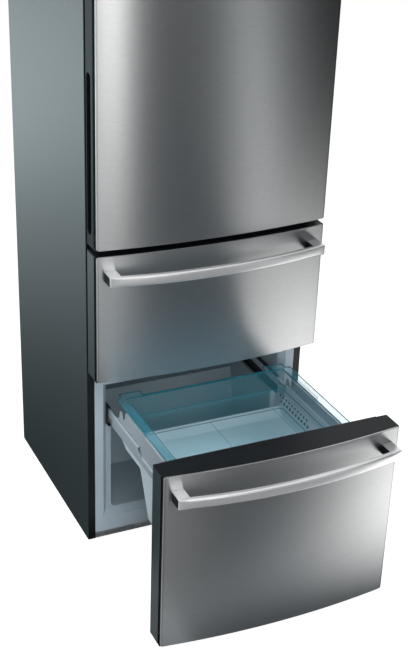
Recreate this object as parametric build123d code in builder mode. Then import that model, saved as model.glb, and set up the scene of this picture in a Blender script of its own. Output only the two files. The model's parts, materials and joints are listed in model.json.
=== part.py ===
"""Free-standing bottom freezer refrigerator with one door and two freezer drawers.

Frame: x to the right, y to the back, z up, in millimetres. The origin is on the floor,
half way across the cabinet, in the plane of the cabinet's front. The lower drawer stands
pulled out; the door and the middle drawer are shut.
"""

import os
from math import atan2, degrees

from build123d import *

os.makedirs("parts", exist_ok=True)

# ---- driving dimensions ----------------------------------------------------------------
WIDTH = 600.0
DEPTH = 558.0  # cabinet alone, front plane to rear edge
HEIGHT = 2000.0  # floor to the top of the hinge cover
FOOT_HEIGHT = 12.0
CABINET_TOP = 1985.0
SHEET = 1.2  # outer steel
LINER = 2.0  # formed plastic inside
HALF = WIDTH / 2

# gaps, folds and cuts that come back in many pieces
FIT = 0.1  # between pieces that rest on each other
PLAY = 0.2  # between pieces that are slid or pressed together
PASS = 1.0  # how far a cut runs past the faces that it opens
EDGE_FOLD = 16.0  # folded-in edge of the painted sheets

# door and drawer fronts, bottom and top
DOOR_Z = (860.0, 1980.0)
MIDDLE_Z = (516.0, 845.0)
LOWER_Z = (26.0, 493.0)
DRAWER_PITCH = MIDDLE_Z[1] - LOWER_Z[1]  # the middle drawer repeats the lower one
PULLED_OUT = 409.0  # lower drawer, as it stands
FRONT_CORNER_Y = -68.6  # front face at its left and right edges
FRONT_BULGE = 20.3
FRONT_BACK_Y = -10.0  # back plane of a front, one gasket away from the cabinet
SIDE_FRONT_Y = -55.0  # where the painted side of a front ends
SKIN = 3.0  # hemmed steel front sheet
SKIN_INSET = 2.0  # from the front's sides to the sheet's edges
SKIN_CORNER = 6.0
HEM_ROUND = 1.0
CAP_INSET = 0.6
CAP_PLATE = 3.0  # visible plate of the black cap
CAP_PLUG = 12.0  # whole cap, with the plug inside the front
PLUG_INSET = 3.5
FOAM_INSET = 10.0
PANEL = 2.0  # moulded back of a front
PANEL_HALF = 283.8

# compartments
OPENING_HALF = 257.0  # mouth of each compartment at the front plane
CAVITY_HALF = 243.0
NARROW_HALF = 229.0  # below the slides
CAVITY_CORNER = 12.0
MOUTH_DEPTH = 20.0
MOUTH_GROW = OPENING_HALF - CAVITY_HALF
MOUTH_TAPER = degrees(atan2(MOUTH_GROW, MOUTH_DEPTH))
FLANGE_HALF = 280.0
FLANGE = 1.5  # thickness of the liners' flanges
FRIDGE_Z = (896.0, 1925.0)
MIDDLE_CAVITY_Z = (552.0, 808.0)
LOWER_CAVITY_Z = (87.0, 456.0)
LEDGE_Z = 342.0  # lower compartment widens above this
FRIDGE_DEPTH = 472.0
MIDDLE_DEPTH = 412.0
LOWER_DEPTH = 460.0
HUMP_TOP = 298.0  # floor over the compressor space
HUMP_FOOT_Y = 215.0
HUMP_BROW_Y = 262.0
REAR_PANEL_Y = 540.0

# flanges of the liners between the front plane's painted returns
FLANGE_Z = {"lower": (30.0, 494.0), "middle": (514.0, 843.0), "fridge": (862.0, 1968.0)}

# slides, rails and telescopes, for the lower drawer, left side
CHANNEL_Z = (344.0, 397.0)
CHANNEL_Y = (4.0, 398.0)
CHANNEL_X = (-242.9, -234.8)
CHANNEL_LIPS = (4.5, 5.5)  # bottom and top
TELESCOPE_X = (-241.2, -235.4)
TELESCOPE_Z = (373.0, 390.5)
TELESCOPE_Y = (4.5, 390.0)
TELESCOPE_NOSE = 16.0  # bevel at its front end
RAIL_SHEET = 1.5
RAIL_WEB_X = -232.5  # inner face of the rail's web
RAIL_LEDGE_X = -238.0
RAIL_Z = (352.0, 368.5, 432.0)  # bottom of the lip, ledge, top of the web
RAIL_Y = (FRONT_BACK_Y, 399.0)
RAIL_LIP = 5.5
RAIL_FOOT_X = -205.0  # how far in the rail's front plate reaches

# door hinge, on the right
HINGE_X = 288.0
HINGE_Y = -30.0
PIN_RADIUS = 4.0
PIN_CLEARANCE = 0.06
PIN_REACH = 10.0  # into the door's caps

# grip cut into the door's left side
GRIP_Y = (-43.0, -13.0)
GRIP_Z = (886.0, 1269.0)
GRIP_DEPTH = 22.0
GRIP_WALL = 1.6
GRIP_ROUND = 8.0

# handles
HANDLE_HALF = 281.0
HANDLE_POST = 28.0
HANDLE_HEIGHT = 25.0
HANDLE_DROP = 36.0  # from the top of the front to the top of the bar
HANDLE_END_Y = -113.6
HANDLE_MID_Y = -144.0
HANDLE_THICK = 13.0
HANDLE_THIN = 11.0  # at its ends
HANDLE_ROUND = 9.0
HANDLE_CORNER = 3.0

# baskets, for the lower drawer
BASKET_HALF = (232.3, 224.0, 214.0)  # rim, shoulder, floor
BASKET_WALL = 2.0
BASKET_Z = (400.0, 366.0, 345.0)  # rim, lower edge of the rim, shoulder

# tinted tray, as it stands in the pulled-out drawer
TRAY_Y = (-365.0, -52.0)
TRAY_Z = (350.0, 452.0)
TRAY_HALF = (211.0, 221.0)  # at the floor and under the rim
TRAY_WALL = 2.2
TRAY_RIM = 2.5
TRAY_RIM_HALF = 240.0

# machine space at the bottom of the back
NICHE_TOP = 262.0
NICHE_FOOT_Y = 318.0
NICHE_BROW_Y = 345.0
PLATE_Z = 40.0
ROLLER_X = 240.0
ROLLER_Y = 500.0
ROLLER_RADIUS = 18.0
ROLLER_WIDTH = 14.0
AXLE_RADIUS = 3.0
FOOT_X = 255.0
FOOT_Y = 40.0
FOOT_STEM = 5.0

SHELF_LEVELS = (1130.0, 1380.0, 1640.0)
SHELF_Y = (136.0, 456.0)
SHELF_HALF = 239.0
GLASS = 4.0
GLASS_DROP = 2.9  # the glass lies this far below its level's name
BIN_LEVELS = ((925.0, 120.0), (1290.0, 90.0), (1600.0, 90.0))  # bottom and height
FAN_X, FAN_Z, FAN_RADIUS = 140.0, 378.0, 44.0


# ---- helpers ---------------------------------------------------------------------------
def write(piece, label, out=0.0, rise=0.0):
    """Label a finished piece, move it `out` of the cabinet and up, and write its file."""
    placed = piece.part.moved(Location((0, -out, rise)))
    placed.label = label
    export_step(placed, f"parts/{label}.step")


def at_y(y):
    """Front view plane at y: sketch x is x, sketch y is z; extruding by -d goes back."""
    return Plane.XZ.offset(-y)


def turned_plane(x, y, z, way=-1):
    """Plane across the y axis for round pieces; extruding goes forward, or back for way 1."""
    return Plane(origin=(x, y, z), z_dir=(0, way, 0))


def folded(points, thickness, side=Side.LEFT, bend=2.0):
    """Section of a sheet folded along a line of points."""
    with BuildSketch() as section:
        with BuildLine():
            FilletPolyline(*points, radius=bend)
            offset(amount=thickness, side=side)
        make_face()
    return section.sketch


def span(u0, u1, v0, v1, radius=0.0, mode=Mode.ADD):
    """Rectangle between two corners in the open sketch, its corners rounded."""
    with Locations(((u0 + u1) / 2, (v0 + v1) / 2)):
        if radius:
            RectangleRounded(abs(u1 - u0), abs(v1 - v0), radius, mode=mode)
        else:
            Rectangle(abs(u1 - u0), abs(v1 - v0), mode=mode)


def outline(points):
    """Face of a closed polygon in the open sketch."""
    Polygon(*points, align=None)


def bow(half, corner_y, middle_y, back_y):
    """Plan of a body with a bowed front and a straight back."""
    with BuildSketch() as plan:
        with BuildLine():
            front = ThreePointArc((-half, corner_y), (0, middle_y), (half, corner_y))
            Polyline(front @ 1, (half, back_y), (-half, back_y), front @ 0)
        make_face()
    return plan.sketch


def front_plan(side_inset, front_inset, back_y=FRONT_BACK_Y):
    """Plan of a door or drawer front, drawn in from its sides and its bowed face."""
    corner = FRONT_CORNER_Y + front_inset
    return bow(HALF - side_inset, corner, corner - FRONT_BULGE, back_y)


def compartment(z_range, depth, ledge=None, grow=0.0):
    """Inside of a compartment and its flared mouth, larger by `grow` all round."""
    floor, ceiling = z_range[0] - grow, z_range[1] + grow
    wide, narrow = CAVITY_HALF + grow, NARROW_HALF + grow
    corner = CAVITY_CORNER + grow
    with BuildPart() as inside:
        with BuildSketch(Plane.XZ):
            if ledge is None:
                span(-wide, wide, floor, ceiling, corner)
            else:
                step = ledge - grow
                span(-narrow, narrow, floor, step + 2 * corner, corner)
                span(-wide, wide, step, ceiling)
        extrude(amount=-(depth + grow))
        with BuildSketch(Plane.XZ):
            mouth = wide + MOUTH_GROW
            span(-mouth, mouth, floor - MOUTH_GROW, ceiling + MOUTH_GROW)
        extrude(amount=-(MOUTH_DEPTH + grow), taper=MOUTH_TAPER)
    return inside.part


def hump(grow=0.0):
    """Step in the lower compartment's floor that clears the compressor."""
    foot, brow, top = HUMP_FOOT_Y + grow, HUMP_BROW_Y + grow, HUMP_TOP - grow
    with BuildPart() as step:
        with BuildSketch(Plane.YZ.offset(-HALF)):
            outline([(foot, 0), (foot, LOWER_CAVITY_Z[0]), (brow, top), (DEPTH, top), (DEPTH, 0)])
        extrude(amount=WIDTH)
    return step.part


# ---- outer cabinet ---------------------------------------------------------------------
INNER_HALF = HALF - SHEET - FIT  # what sits between the side panels
BEAD_LENGTH, BEAD_WIDTH, BEAD_RISE = 1500.0, 26.0, 2.5  # stiffening beads of the back
BEAD_PITCH, BEAD_Z = 180.0, 1120.0
TOP_EDGE_Z = FLANGE_Z["fridge"][1]  # lower edge of the top panel's folds
REAR_FOOT_Z = NICHE_TOP + 8
FOOT_PLACES = [(-FOOT_X, FOOT_Y, FOOT_HEIGHT), (FOOT_X, FOOT_Y, FOOT_HEIGHT)]

with BuildPart() as side_panel_left:
    with BuildSketch(Plane.XY.offset(FOOT_HEIGHT)):
        edge = [(-FLANGE_HALF, 0), (-HALF, 0), (-HALF, DEPTH), (-HALF + EDGE_FOLD, DEPTH)]
        add(folded(edge, SHEET, Side.RIGHT))
    extrude(amount=CABINET_TOP - FOOT_HEIGHT)
write(side_panel_left, "side_panel_left")

with BuildPart() as side_panel_right:
    add(mirror(side_panel_left.part, about=Plane.YZ, mode=Mode.PRIVATE))
write(side_panel_right, "side_panel_right")

with BuildPart() as top_panel:
    with BuildSketch(Plane.YZ.offset(-INNER_HALF)):
        edge = [(0, TOP_EDGE_Z), (0, CABINET_TOP), (DEPTH, CABINET_TOP), (DEPTH, TOP_EDGE_Z)]
        add(folded(edge, SHEET, Side.RIGHT))
    extrude(amount=2 * INNER_HALF)
    for side in (-1, 1):
        # the corners make way for the side panels' folds
        with BuildSketch(Plane.XY.offset(CABINET_TOP + PASS)):
            span(side * (FLANGE_HALF - FIT), side * HALF, -PASS, SHEET + PASS)
            fold = HALF - EDGE_FOLD - PASS
            span(side * fold, side * HALF, DEPTH - SHEET - PASS, DEPTH + PASS)
        extrude(amount=TOP_EDGE_Z - CABINET_TOP - 2 * PASS, mode=Mode.SUBTRACT)
write(top_panel, "top_panel")

with BuildPart() as rear_panel:
    with BuildSketch(at_y(REAR_PANEL_Y - SHEET)):
        span(-INNER_HALF, INNER_HALF, REAR_FOOT_Z, CABINET_TOP - SHEET - PLAY)
    extrude(amount=-SHEET)
    with BuildSketch(at_y(REAR_PANEL_Y)):
        with Locations((0, BEAD_Z)):
            with GridLocations(BEAD_PITCH, 0, 4, 1):
                SlotOverall(BEAD_LENGTH, BEAD_WIDTH, rotation=90)
    extrude(amount=-BEAD_RISE, taper=30)
write(rear_panel, "rear_panel")

with BuildPart() as bottom_panel:
    with BuildSketch(Plane.YZ.offset(-INNER_HALF)):
        floor_line = [
            (0, FLANGE_Z["lower"][0]),
            (0, FOOT_HEIGHT),
            (NICHE_FOOT_Y, FOOT_HEIGHT),
            (NICHE_BROW_Y, NICHE_TOP),
            (REAR_PANEL_Y - SHEET, NICHE_TOP),
        ]
        add(folded(floor_line, SHEET))
    extrude(amount=2 * INNER_HALF)
    with Locations(*FOOT_PLACES):
        Cylinder(FOOT_STEM + 0.3, 4 * SHEET, mode=Mode.SUBTRACT)
    for side in (-1, 1):
        # the front fold ends beside the side panels' folds
        fold = (side * (FLANGE_HALF - FIT), side * HALF)
        with BuildSketch(at_y(-PASS)):
            span(*fold, 0, FLANGE_Z["lower"][0] + PASS)
        extrude(amount=-2 * SHEET - PASS, mode=Mode.SUBTRACT)
write(bottom_panel, "bottom_panel")

# ---- liners, crossbars and insulation --------------------------------------------------
SPACES = {
    "fridge": (FRIDGE_Z, FRIDGE_DEPTH, None),
    "middle": (MIDDLE_CAVITY_Z, MIDDLE_DEPTH, LEDGE_Z + DRAWER_PITCH),
    "lower": (LOWER_CAVITY_Z, LOWER_DEPTH, LEDGE_Z),
}
RUNNER_Y = (132.0, 452.0)  # ledges that carry the shelves
RUNNER_WIDTH, RUNNER_HEIGHT = 6.0, 8.0
CROSSBAR_DEPTH, CROSSBAR_SHEET = 26.0, 1.5
FOAM_FRONT_Y = 28.0


def liner(name):
    """Formed plastic inside of one compartment, with its flange on the front plane."""
    z_range, depth, ledge = SPACES[name]
    with BuildPart() as shell:
        add(compartment(z_range, depth, ledge, LINER))
        if name == "lower":
            add(hump(LINER), mode=Mode.SUBTRACT)
        with BuildSketch(Plane.XZ):
            span(-FLANGE_HALF + FIT, FLANGE_HALF - FIT, *FLANGE_Z[name])
        extrude(amount=-FLANGE)
        void = compartment(z_range, depth, ledge)
        if name == "lower":
            void = void - hump()
        add(void, mode=Mode.SUBTRACT)
        if name == "fridge":
            with BuildSketch(at_y(RUNNER_Y[0])):
                for level in SHELF_LEVELS:
                    top = level - GLASS_DROP - FIT
                    for x in (-CAVITY_HALF, CAVITY_HALF - RUNNER_WIDTH):
                        span(x, x + RUNNER_WIDTH, top - RUNNER_HEIGHT, top)
            extrude(amount=RUNNER_Y[0] - RUNNER_Y[1])
    return shell


for name in SPACES:
    write(liner(name), f"{name}_liner")

with BuildPart() as crossbars:
    for below, above in (("lower", "middle"), ("middle", "fridge")):
        low, high = FLANGE_Z[below][1] + PLAY, FLANGE_Z[above][0] - PLAY
        with BuildSketch(Plane.YZ.offset(-FLANGE_HALF + PLAY)):
            channel = [(CROSSBAR_DEPTH, low), (0, low), (0, high), (CROSSBAR_DEPTH, high)]
            add(folded(channel, CROSSBAR_SHEET, Side.RIGHT, 1.6))
        extrude(amount=2 * (FLANGE_HALF - PLAY))
write(crossbars, "crossbars")

with BuildPart() as cabinet_foam:
    foam_half = INNER_HALF - 3 * FIT
    with BuildSketch(Plane.YZ.offset(-foam_half)):
        floor, back, gap = FOOT_HEIGHT + 2 * SHEET, REAR_PANEL_Y - 2 * SHEET, 2 * SHEET
        outline(
            [
                (FOAM_FRONT_Y, floor),
                (NICHE_FOOT_Y - gap, floor),
                (NICHE_BROW_Y - gap, NICHE_TOP + gap),
                (back, NICHE_TOP + gap),
                (back, CABINET_TOP - gap),
                (FOAM_FRONT_Y, CABINET_TOP - gap),
            ]
        )
    extrude(amount=2 * foam_half)
    for name, (z_range, depth, ledge) in SPACES.items():
        void = compartment(z_range, depth, ledge, LINER + FIT)
        if name == "lower":
            void = void - hump(LINER + FIT)
        add(void, mode=Mode.SUBTRACT)
    with Locations(*FOOT_PLACES):
        Cylinder(FOOT_STEM + 1, 60, mode=Mode.SUBTRACT)
write(cabinet_foam, "cabinet_foam")

# ---- door and drawer fronts ------------------------------------------------------------
GASKET_HALF = 282.0
GASKET_STEPS = (  # near face, far face and width of the foot, the bellows and the magnet
    (-10.0, -7.5, 16.0),
    (-7.5, -4.5, 7.0),
    (-4.5, -0.4, 14.0),
)
GASKET_WIDTH = GASKET_STEPS[0][2]
GASKET_CORNER = 8.0
BULGE_HALF, BULGE_DEPTH, BULGE_CORNER = 216.0, 16.0, 18.0  # raised middle of an inner panel


def front_skin(z_range):
    """Bowed stainless sheet with a hemmed, rounded edge."""
    low, high = z_range
    half, corner = HALF - SKIN_INSET, FRONT_CORNER_Y
    middle = corner - FRONT_BULGE
    with BuildPart() as skin:
        with BuildSketch(Plane.XY.offset(low)):
            add(bow(half, corner, middle, corner + SKIN))
            add(bow(half + PASS, corner + SKIN, middle + SKIN, 0), mode=Mode.SUBTRACT)
        extrude(amount=high - low)
        fillet(skin.edges().filter_by(Axis.Y), SKIN_CORNER)
        fillet(skin.faces().sort_by(Axis.Y)[0].edges(), HEM_ROUND)
    return skin


def front_frame(z_range, hinge_holes=False):
    """Black moulded caps above and below, joined by the strips behind the steel's edge."""
    low, high = z_range
    with BuildPart() as frame:
        for level, way in ((low, 1), (high, -1)):
            with BuildSketch(Plane.XY.offset(level)):
                add(front_plan(CAP_INSET, SKIN + PLAY))
            extrude(amount=way * CAP_PLATE)
            with BuildSketch(Plane.XY.offset(level + way * CAP_PLATE)):
                add(front_plan(PLUG_INSET, 2 * SKIN, FRONT_BACK_Y - PANEL - PLAY))
            extrude(amount=way * (CAP_PLUG - CAP_PLATE))
        with BuildSketch(Plane.XY.offset(low + CAP_PLUG + FIT)):
            for side in (-1, 1):
                strip_x = (side * (HALF - FOAM_INSET), side * (HALF - PLUG_INSET))
                span(*strip_x, FRONT_CORNER_Y + SKIN + PASS, SIDE_FRONT_Y - PLAY)
        extrude(amount=high - low - 2 * (CAP_PLUG + FIT))
        if hinge_holes:
            with Locations((HINGE_X, HINGE_Y, low), (HINGE_X, HINGE_Y, high)):
                bore_depth = PIN_REACH + PASS
                Cylinder(PIN_RADIUS + PIN_CLEARANCE, 2 * bore_depth, mode=Mode.SUBTRACT)
    return frame


def front_sides(z_range, grip=False):
    """Painted sheet on the left and right edges, folded in behind for the gasket."""
    low, high = z_range[0] + CAP_PLATE, z_range[1] - CAP_PLATE
    edge = [
        (-HALF + SKIN, SIDE_FRONT_Y),
        (-HALF, SIDE_FRONT_Y),
        (-HALF, FRONT_BACK_Y),
        (-HALF + EDGE_FOLD, FRONT_BACK_Y),
    ]
    with BuildPart() as sides:
        with BuildSketch(Plane.XY.offset(low)):
            add(folded(edge, SHEET, Side.RIGHT, 1.5))
        extrude(amount=high - low)
        mirror(about=Plane.YZ)
        if grip:
            with BuildSketch(Plane.YZ.offset(-HALF - PASS)):
                add(grip_outline(FIT))
            extrude(amount=2 * (SHEET + PASS), mode=Mode.SUBTRACT)
    return sides


def grip_outline(grow):
    """Long slot of the grip, seen from the side: sketch x is y and sketch y is z."""
    width = GRIP_Y[1] - GRIP_Y[0]
    with BuildSketch() as slot:
        with Locations((sum(GRIP_Y) / 2, sum(GRIP_Z) / 2)):
            SlotOverall(GRIP_Z[1] - GRIP_Z[0] + 2 * grow, width + 2 * grow, rotation=90)
    return slot.sketch


def front_foam(z_range, grip=False):
    """Insulation inside a front."""
    low, high = z_range[0] + CAP_PLUG, z_range[1] - CAP_PLUG
    with BuildPart() as foam:
        with BuildSketch(Plane.XY.offset(low)):
            add(front_plan(FOAM_INSET + PLAY, SKIN + PLAY, FRONT_BACK_Y - PANEL - PLAY))
        extrude(amount=high - low)
        if grip:
            with BuildSketch(Plane.YZ.offset(-HALF)):
                add(grip_outline(PLAY))
            extrude(amount=GRIP_DEPTH + 2 + PLAY, mode=Mode.SUBTRACT)
    return foam


def gasket(z_range):
    """Magnetic seal: foot, folding bellows and magnet chamber in one ring."""
    with BuildPart() as seal:
        for near, far, width in GASKET_STEPS:
            slack = (GASKET_WIDTH - width) / 2
            low, high = z_range[0] + slack, z_range[1] - slack
            half = GASKET_HALF - slack
            with BuildSketch(at_y(near)):
                span(-half, half, low, high, GASKET_CORNER - slack)
                inner = half - width
                span(-inner, inner, low + width, high - width, 2, Mode.SUBTRACT)
            extrude(amount=near - far)
    return seal


def handle(top):
    """Bowed bar that turns back into the front at both ends."""
    with BuildPart() as bar:
        with BuildSketch(Plane.XY.offset(top - HANDLE_DROP - HANDLE_HEIGHT)) as plan:
            add(bow(HANDLE_HALF, HANDLE_END_Y, HANDLE_MID_Y, FRONT_CORNER_Y))
            inner = HANDLE_HALF - HANDLE_POST
            gap = bow(inner, HANDLE_END_Y + HANDLE_THIN, HANDLE_MID_Y + HANDLE_THICK, 0)
            add(gap, mode=Mode.SUBTRACT)
            add(front_plan(0, -FIT), mode=Mode.SUBTRACT)
            fillet(plan.vertices().group_by(Axis.Y)[0], HANDLE_CORNER)
        extrude(amount=HANDLE_HEIGHT)
        crown = bar.faces().filter_by(Axis.Z).edges().filter_by(GeomType.CIRCLE)
        outer = [e for e in crown if e.length > HANDLE_HALF and e.center().Y < HANDLE_MID_Y + 8]
        fillet(outer, HANDLE_ROUND)
    return bar


def drawer_inner_panel(z_range, bulge_z):
    """Moulded back of a drawer front, raised where it closes the compartment."""
    with BuildPart() as inner:
        with BuildSketch(at_y(FRONT_BACK_Y - PANEL)):
            low, high = z_range[0] + CAP_PLUG + PLAY, z_range[1] - CAP_PLATE - PLAY
            span(-PANEL_HALF, PANEL_HALF, low, high)
        extrude(amount=-PANEL)
        with BuildSketch(at_y(FRONT_BACK_Y)):
            span(-BULGE_HALF, BULGE_HALF, *bulge_z, BULGE_CORNER)
        extrude(amount=-BULGE_DEPTH, taper=20)
    return inner


FRONTS = {  # height range, the gasket's height range, how far it stands out
    "fridge_door": (DOOR_Z, (864.0, 1958.0), 0.0),
    "middle_drawer": (MIDDLE_Z, (520.0, 841.0), 0.0),
    "lower_drawer": (LOWER_Z, (52.0, 489.0), PULLED_OUT),
}
for name, (z_range, seal_z, out) in FRONTS.items():
    is_door = name == "fridge_door"
    write(front_skin(z_range), f"{name}_skin", out)
    write(front_frame(z_range, hinge_holes=is_door), f"{name}_frame", out)
    write(front_sides(z_range, grip=is_door), f"{name}_sides", out)
    write(front_foam(z_range, grip=is_door), f"{name}_foam", out)
    write(gasket(seal_z), f"{name}_gasket", out)
    if not is_door:
        write(handle(z_range[1]), f"{name}_handle", out)

write(drawer_inner_panel(LOWER_Z, (104, 330)), "lower_drawer_panel", PULLED_OUT)
write(drawer_inner_panel(MIDDLE_Z, (566, 682)), "middle_drawer_panel")

# ---- door inside -----------------------------------------------------------------------
DAM_OUTER = (226.0, 902.0, 1919.0)  # half width, bottom and top of the raised rim
DAM_INNER = (196.0, 924.0, 1897.0)
DAM_DEPTH = 38.0
PEG_X, PEG_LENGTH, PEG_WIDTH, PEG_REACH = 193.0, 26.0, 8.0, 24.0
BIN_HALF, BIN_REACH, BIN_WALL = 186.0, 95.0, 2.5
BIN_CORNER, BIN_BACK_CORNER = 28.0, 5.0

with BuildPart() as door_grip:
    with BuildSketch(Plane.YZ.offset(-HALF + PLAY)):
        add(grip_outline(0))
    extrude(amount=GRIP_DEPTH)
    fillet(door_grip.faces().sort_by(Axis.X)[-1].edges(), GRIP_ROUND)
    offset(amount=-GRIP_WALL, openings=door_grip.faces().sort_by(Axis.X)[0])
write(door_grip, "fridge_door_grip")

with BuildPart() as door_liner:
    with BuildSketch(at_y(FRONT_BACK_Y - PANEL)):
        inset = CAP_PLUG + PLAY
        span(-PANEL_HALF, PANEL_HALF, DOOR_Z[0] + inset, DOOR_Z[1] - inset)
    extrude(amount=-PANEL)
    with BuildSketch(at_y(FRONT_BACK_Y)):
        span(-DAM_OUTER[0], *DAM_OUTER, 24)
        span(-DAM_INNER[0], *DAM_INNER, 14, Mode.SUBTRACT)
    extrude(amount=-DAM_DEPTH, taper=8)
    with BuildSketch(at_y(FRONT_BACK_Y)):
        # pegs that the bins hang on
        for level, height in BIN_LEVELS:
            with Locations((-PEG_X, level + 0.55 * height), (PEG_X, level + 0.55 * height)):
                SlotOverall(PEG_LENGTH, PEG_WIDTH, rotation=90)
    extrude(amount=-PEG_REACH)
write(door_liner, "fridge_door_liner")


def bin_block(low, high, grow=0.0):
    """Tapered block with rounded outer corners, larger by `grow` all round."""
    half, back, reach = BIN_HALF + grow, FRONT_BACK_Y + 2 * PLAY - grow, BIN_REACH + grow
    with BuildPart() as block:
        with BuildSketch(Plane.XY.offset(high)) as plan:
            span(-half, half, back, reach)
            fillet(plan.vertices().group_by(Axis.Y)[-1], BIN_CORNER + grow)
            fillet(plan.vertices().group_by(Axis.Y)[0], BIN_BACK_CORNER + grow)
        extrude(amount=low - high, taper=4)
    return block.part


with BuildPart() as door_bins:
    for level, height in BIN_LEVELS:
        add(bin_block(level, level + height))
        add(bin_block(level + BIN_WALL, level + height, -BIN_WALL), mode=Mode.SUBTRACT)
write(door_bins, "fridge_door_bins")

# ---- inside the fridge compartment -----------------------------------------------------
TRIM_HALF = 231.0
TRIM_WALL, TRIM_JAW, TRIM_NOSE = 2.4, 8.0, 5.0  # around the glass, over it and beyond its edge

with BuildPart() as shelf_glasses:
    for level in SHELF_LEVELS:
        with BuildSketch(Plane.XY.offset(level - GLASS_DROP)):
            span(-SHELF_HALF, SHELF_HALF, *SHELF_Y, 4)
        extrude(amount=GLASS)
write(shelf_glasses, "shelf_glasses")

with BuildPart() as shelf_trims:
    with BuildSketch(Plane.YZ.offset(-TRIM_HALF)):
        for level in SHELF_LEVELS:
            low, high = level - GLASS_DROP, level - GLASS_DROP + GLASS
            for edge, way, rise in ((SHELF_Y[0], -1, 4.0), (SHELF_Y[1], 1, 14.0)):
                # a clip round the glass; the rear one stands up as a stop
                jaw, nose = edge - way * TRIM_JAW, edge + way * TRIM_NOSE
                glass_end = edge + way * PLAY
                span(jaw, nose, low - TRIM_WALL, high + TRIM_WALL, 1.0)
                span(glass_end, nose, low, high + rise)
                span(jaw - way * PASS, glass_end, low - FIT, high + FIT, mode=Mode.SUBTRACT)
    extrude(amount=2 * TRIM_HALF)
write(shelf_trims, "shelf_trims")

CONTROL_HALF = 95.0
CONTROL_Y = (150.0, 330.0)
CONTROL_FOOT = (CONTROL_Y[0] + 16, 1876.0)  # y and z of the lowest edge
CONTROL_FACE_LOW, CONTROL_BACK_LOW = 1889.0, 1900.0
LAMP_X, LAMP_LENGTH, LAMP_WIDTH, LAMP_DEPTH = -30.0, 90.0, 110.0, 6.0
KNOB_X, KNOB_Z, KNOB_RADIUS = 60.0, 1907.0, 13.0
KNOB_DEPTH = 16.0
SPINDLE_RADIUS, SPINDLE_REACH = 2.9, 14.0

with BuildPart() as control_housing:
    with BuildSketch(Plane.YZ.offset(-CONTROL_HALF)) as side:
        ceiling = FRIDGE_Z[1] - PLAY
        face, back = CONTROL_Y
        outline(
            [
                (face, ceiling),
                (face, CONTROL_FACE_LOW),
                CONTROL_FOOT,
                (back, CONTROL_BACK_LOW),
                (back, ceiling),
            ]
        )
        fillet(side.vertices().group_by(Axis.Z)[0], 8)
    extrude(amount=2 * CONTROL_HALF)
    fillet(control_housing.edges().filter_by(Axis.Z), 6)
    with BuildSketch(turned_plane(KNOB_X, CONTROL_Y[0], KNOB_Z)):
        Circle(SPINDLE_RADIUS)
    extrude(amount=SPINDLE_REACH)
    run, climb = CONTROL_Y[1] - CONTROL_FOOT[0], CONTROL_BACK_LOW - CONTROL_FOOT[1]
    middle = (LAMP_X, CONTROL_FOOT[0] + run / 2, CONTROL_FOOT[1] + climb / 2)
    with BuildSketch(Plane(origin=middle, x_dir=(1, 0, 0), z_dir=(0, climb, -run))):
        RectangleRounded(LAMP_LENGTH, LAMP_WIDTH, 8)
    extrude(amount=-LAMP_DEPTH, mode=Mode.SUBTRACT)
write(control_housing, "control_housing")

with BuildPart() as thermostat_knob:
    with BuildSketch(turned_plane(KNOB_X, CONTROL_Y[0] - 2 * PLAY, KNOB_Z)):
        Circle(KNOB_RADIUS)
    extrude(amount=KNOB_DEPTH, taper=3)
    with BuildSketch(turned_plane(KNOB_X, CONTROL_Y[0] - 3, KNOB_Z)):
        with PolarLocations(KNOB_RADIUS + 0.8, 10):
            # finger flutes
            Circle(1.8)
    extrude(amount=KNOB_DEPTH, mode=Mode.SUBTRACT)
    with BuildSketch(turned_plane(KNOB_X, CONTROL_Y[0], KNOB_Z)):
        Circle(SPINDLE_RADIUS + PIN_CLEARANCE)
    extrude(amount=SPINDLE_REACH + 2 * PLAY, mode=Mode.SUBTRACT)
    with BuildSketch(turned_plane(KNOB_X, CONTROL_Y[0] - KNOB_DEPTH, KNOB_Z)):
        # raised pointer
        with Locations((0, KNOB_RADIUS / 2)):
            Rectangle(1.6, 8)
    extrude(amount=1)
write(thermostat_knob, "thermostat_knob")

# ---- hinges ----------------------------------------------------------------------------
HINGE_SHEET = 3.0
HINGE_EYE = 10.0  # radius of the plate around the pin
COLLAR, COLLAR_HEIGHT = 7.0, 3.0
COVER_WALL, COVER_ROUND = 2.0, 4.0
HINGE_PLATE_Z = 850.0
TOP_SCREWS = [(252, 30), (278, 30), (265, 54)]
MIDDLE_SCREWS = [(246, 856), (266, 856)]


def pin(low, high, radius):
    """Round pin on the door's axis."""
    with BuildPart() as rod:
        with BuildSketch(Plane.XY.offset(low)):
            with Locations((HINGE_X, HINGE_Y)):
                Circle(radius)
        extrude(amount=high - low)
    return rod.part


with BuildPart() as hinge_top:
    with BuildSketch(Plane.XY.offset(CABINET_TOP)):
        with Locations((HINGE_X - 1, HINGE_Y)):
            Circle(HINGE_EYE)
        span(238, 292, 12, 66, 4)
        make_hull()
        with Locations(*TOP_SCREWS):
            Circle(3.2, mode=Mode.SUBTRACT)
    extrude(amount=HINGE_SHEET)
    add(pin(DOOR_Z[1] - PIN_REACH, CABINET_TOP, PIN_RADIUS))
    add(pin(CABINET_TOP - COLLAR_HEIGHT, CABINET_TOP, COLLAR))
write(hinge_top, "hinge_top")

with BuildPart() as hinge_cover:
    with BuildSketch(Plane.XY.offset(CABINET_TOP + PLAY)):
        with Locations((HINGE_X - 3, HINGE_Y)):
            Circle(HINGE_EYE + 5)
        span(230, HALF, 4, 76, 8)
        make_hull()
    extrude(amount=HEIGHT - CABINET_TOP - PLAY)
    fillet(hinge_cover.faces().sort_by(Axis.Z)[-1].edges(), COVER_ROUND)
    offset(amount=-COVER_WALL, openings=hinge_cover.faces().sort_by(Axis.Z)[0])
write(hinge_cover, "hinge_cover")

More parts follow.
